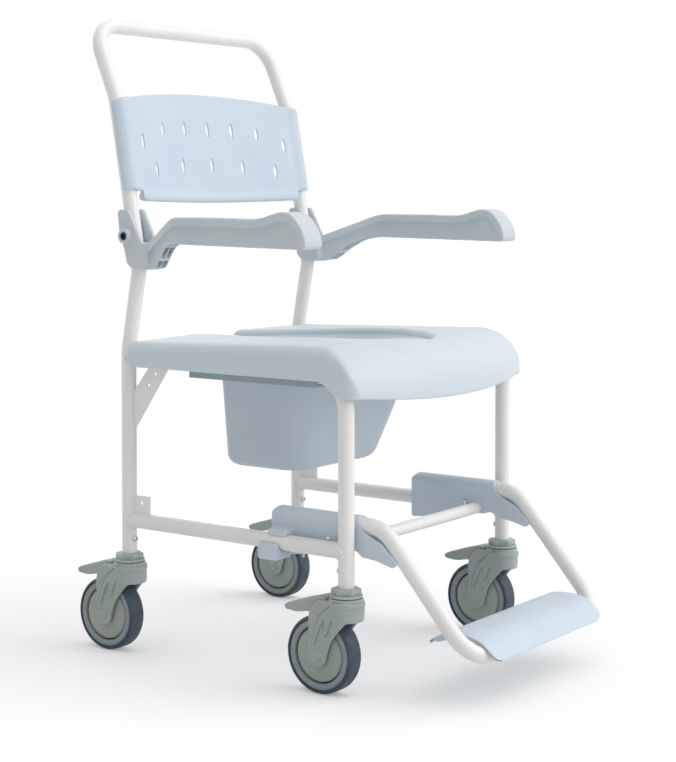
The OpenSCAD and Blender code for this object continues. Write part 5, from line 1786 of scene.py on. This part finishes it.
    def build(self) -> None:
        """Makes the caster's pieces on their bodies."""
        f, word = self.finishes, self.word()
        at, axis = (0.0, self.trail, self.wheel_r), (1, 0, 0)
        disc, gap, rim, tyre = self.wheel_profile()
        plate = turned(disc, at, axis, 96)
        shaded_gap_ring, rim_ring, tread = (ring_turned(line, at, axis) for line in (gap, rim, tyre))
        rows = (
            ("collar", "hexagon", self.collar(), "frame", "caster_plastic", f.caster, True),
            ("fork", "moulding", self.fork(), f"caster_{word}", "caster_plastic", f.caster, True),
            ("axle", "caps", self.caps(), f"caster_{word}", "caster_plastic", f.caster, True),
            ("pedal", "moulding", self.pedal(), f"brake_{word}", "caster_plastic", f.caster, True),
            ("hub", "disc", plate, f"wheel_{word}", "wheel_disc", f.disc, True),
            # The ring in the gap between disc and rim carries painted shade: near-black for the
            # shadow there.
            ("hub", "gap", shaded_gap_ring, f"wheel_{word}", "tyre", f.gap, False),
            ("hub", "rim", rim_ring, f"wheel_{word}", "wheel_disc", f.rim, False),
            ("tyre", "tread", tread, f"wheel_{word}", "tyre", f.tyre, True),
        )
        for kind, part, surface, body, slot, finish, stands in rows:
            node = f"{kind}_{word}"
            make_piece(f"{node}.{part}", self.place(surface), body, finish,
                       [node] if stands else [])


# Studio


@dataclass(frozen=True)
class Lamp:
    """A wide, distant soft lamp, given by where it stands and how strong it is.

    Attributes:
        name: Name of the lamp.
        toward: Direction from the chair to the lamp.
        spread: Width of the lamp as seen from the chair, in degrees.
        power: Share of plain white that it alone gives to a white sheet facing it.
    """

    name: str
    toward: tuple[float, float, float]
    spread: float
    power: float

    def make(self) -> None:
        """Adds the lamp to the scene."""
        data = bpy.data.lights.new(self.name, "SUN")
        data.angle = math.radians(self.spread)
        data.energy = math.pi * self.power
        lamp = bpy.data.objects.new(self.name, data)
        lamp.rotation_euler = Vector(self.toward).to_track_quat("Z", "Y").to_euler()
        bpy.context.scene.collection.objects.link(lamp)


@dataclass
class Studio:
    """The pale floor, the white surroundings, four soft lamps and the camera."""

    eye: tuple[float, float, float] = (-2.3493, -1.6844, 0.7659)
    heading: float = 35.959
    tilt: float = 2.150
    focal_px: float = 1726.5
    frame_px: float = 762.0
    shift: float = -0.16
    floor_half: float = 60.0
    floor_tone: float = 0.80
    floor_lift: float = 0.25
    ambient: float = 0.40
    lamps: tuple[Lamp, ...] = (
        Lamp("front_lamp", (0.42, -0.62, 0.66), 60.0, 0.37),
        Lamp("low_lamp", (0.25, -0.95, 0.12), 50.0, 0.27),
        Lamp("top_lamp", (-0.15, 0.1, 1.0), 80.0, 0.24),
        Lamp("back_lamp", (0.4, 0.8, 0.45), 50.0, 0.10),
    )

    def camera(self) -> None:
        """Places the camera: most of the photograph's rise is its lens shift, the rest its tilt."""
        data = bpy.data.cameras.new("camera")
        data.sensor_width = 36.0
        data.lens = self.focal_px / self.frame_px * data.sensor_width
        data.shift_y = self.shift
        data.clip_end = 200.0
        camera = bpy.data.objects.new("camera", data)
        camera.location = self.eye
        camera.rotation_euler = (0.5 * math.pi - math.radians(self.tilt), 0.0,
                                 math.radians(self.heading - 90.0))
        bpy.context.scene.collection.objects.link(camera)
        bpy.context.scene.camera = camera

    def seen_directly(self, tree: bpy.types.NodeTree, low: float, high: float
                      ) -> bpy.types.NodeSocket:
        """A value that is high to the camera, mirrors and glass, and low to all other light.

        Args:
            tree: The node tree that needs it.
            low: The value for light that falls on something dull.
            high: The value where the surface itself is seen.

        Returns:
            The socket with the value.
        """
        path = tree.nodes.new("ShaderNodeLightPath")
        total = path.outputs["Is Camera Ray"]
        for name in ("Is Glossy Ray", "Is Transmission Ray"):
            either = tree.nodes.new("ShaderNodeMath")
            either.operation = "MAXIMUM"
            tree.links.new(total, either.inputs[0])
            tree.links.new(path.outputs[name], either.inputs[1])
            total = either.outputs[0]
        value = tree.nodes.new("ShaderNodeMapRange")
        value.inputs["To Min"].default_value = low
        value.inputs["To Max"].default_value = high
        tree.links.new(total, value.inputs["Value"])
        return value.outputs["Result"]

    def floor(self) -> None:
        """A wide pale floor that takes the shadow and is lifted to white where it is seen."""
        h = self.floor_half
        mesh = bpy.data.meshes.new("floor")
        mesh.from_pydata([(-h, -h, 0), (h, -h, 0), (h, h, 0), (-h, h, 0)], [], [(0, 1, 2, 3)])
        floor = bpy.data.objects.new("floor", mesh)
        bpy.context.scene.collection.objects.link(floor)
        n = Nodes("pale_floor")
        n.put(Base_Color=(*[self.floor_tone] * 3, 1.0), Roughness=0.95, Specular_IOR_Level=0.0)
        lift, both = n.add("Emission"), n.add("AddShader")
        n.feed(lift.inputs["Color"], (1.0, 1.0, 1.0, 1.0))
        n.feed(lift.inputs["Strength"], self.seen_directly(n.tree, 0.0, self.floor_lift))
        for target, source in zip(both.inputs, (n.shader, lift)):
            n.feed(target, source.outputs[0])
        n.feed(n.tree.nodes["Material Output"].inputs["Surface"], both.outputs[0])
        mesh.materials.append(n.material)

    def surroundings(self) -> None:
        """White all round to the camera and to mirrors, and a plain dimmer light on the rest."""
        world = bpy.data.worlds.new("studio")
        bpy.context.scene.world = world
        world.use_nodes = True
        tree = world.node_tree
        background = tree.nodes["Background"]
        background.inputs["Color"].default_value = (1.0, 1.0, 1.0, 1.0)
        tree.links.new(self.seen_directly(tree, self.ambient, 1.0), background.inputs["Strength"])

    def build(self) -> None:
        """Makes the whole studio."""
        bpy.context.scene.view_settings.view_transform = "Standard"
        self.camera()
        self.floor()
        self.surroundings()
        for lamp in self.lamps:
            lamp.make()


def main() -> None:
    """Builds the studio, then the chair's sub-assemblies in order."""
    logging.basicConfig(level=logging.INFO, format="%(name)s: %(message)s")
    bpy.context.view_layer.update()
    Studio().build()
    finishes = Finishes()
    FrameTubes(finishes).build()
    Backrest(finishes).build()
    Seat(finishes).build()
    for side in Side:
        Armrest(finishes, side).build()
    Pan(finishes).build()
    Footrest(finishes).build()
    Footplate(finishes).build()
    for end, side in product(End, Side):
        Caster(finishes, end, side).build()


if __name__ == "__main__":
    main()
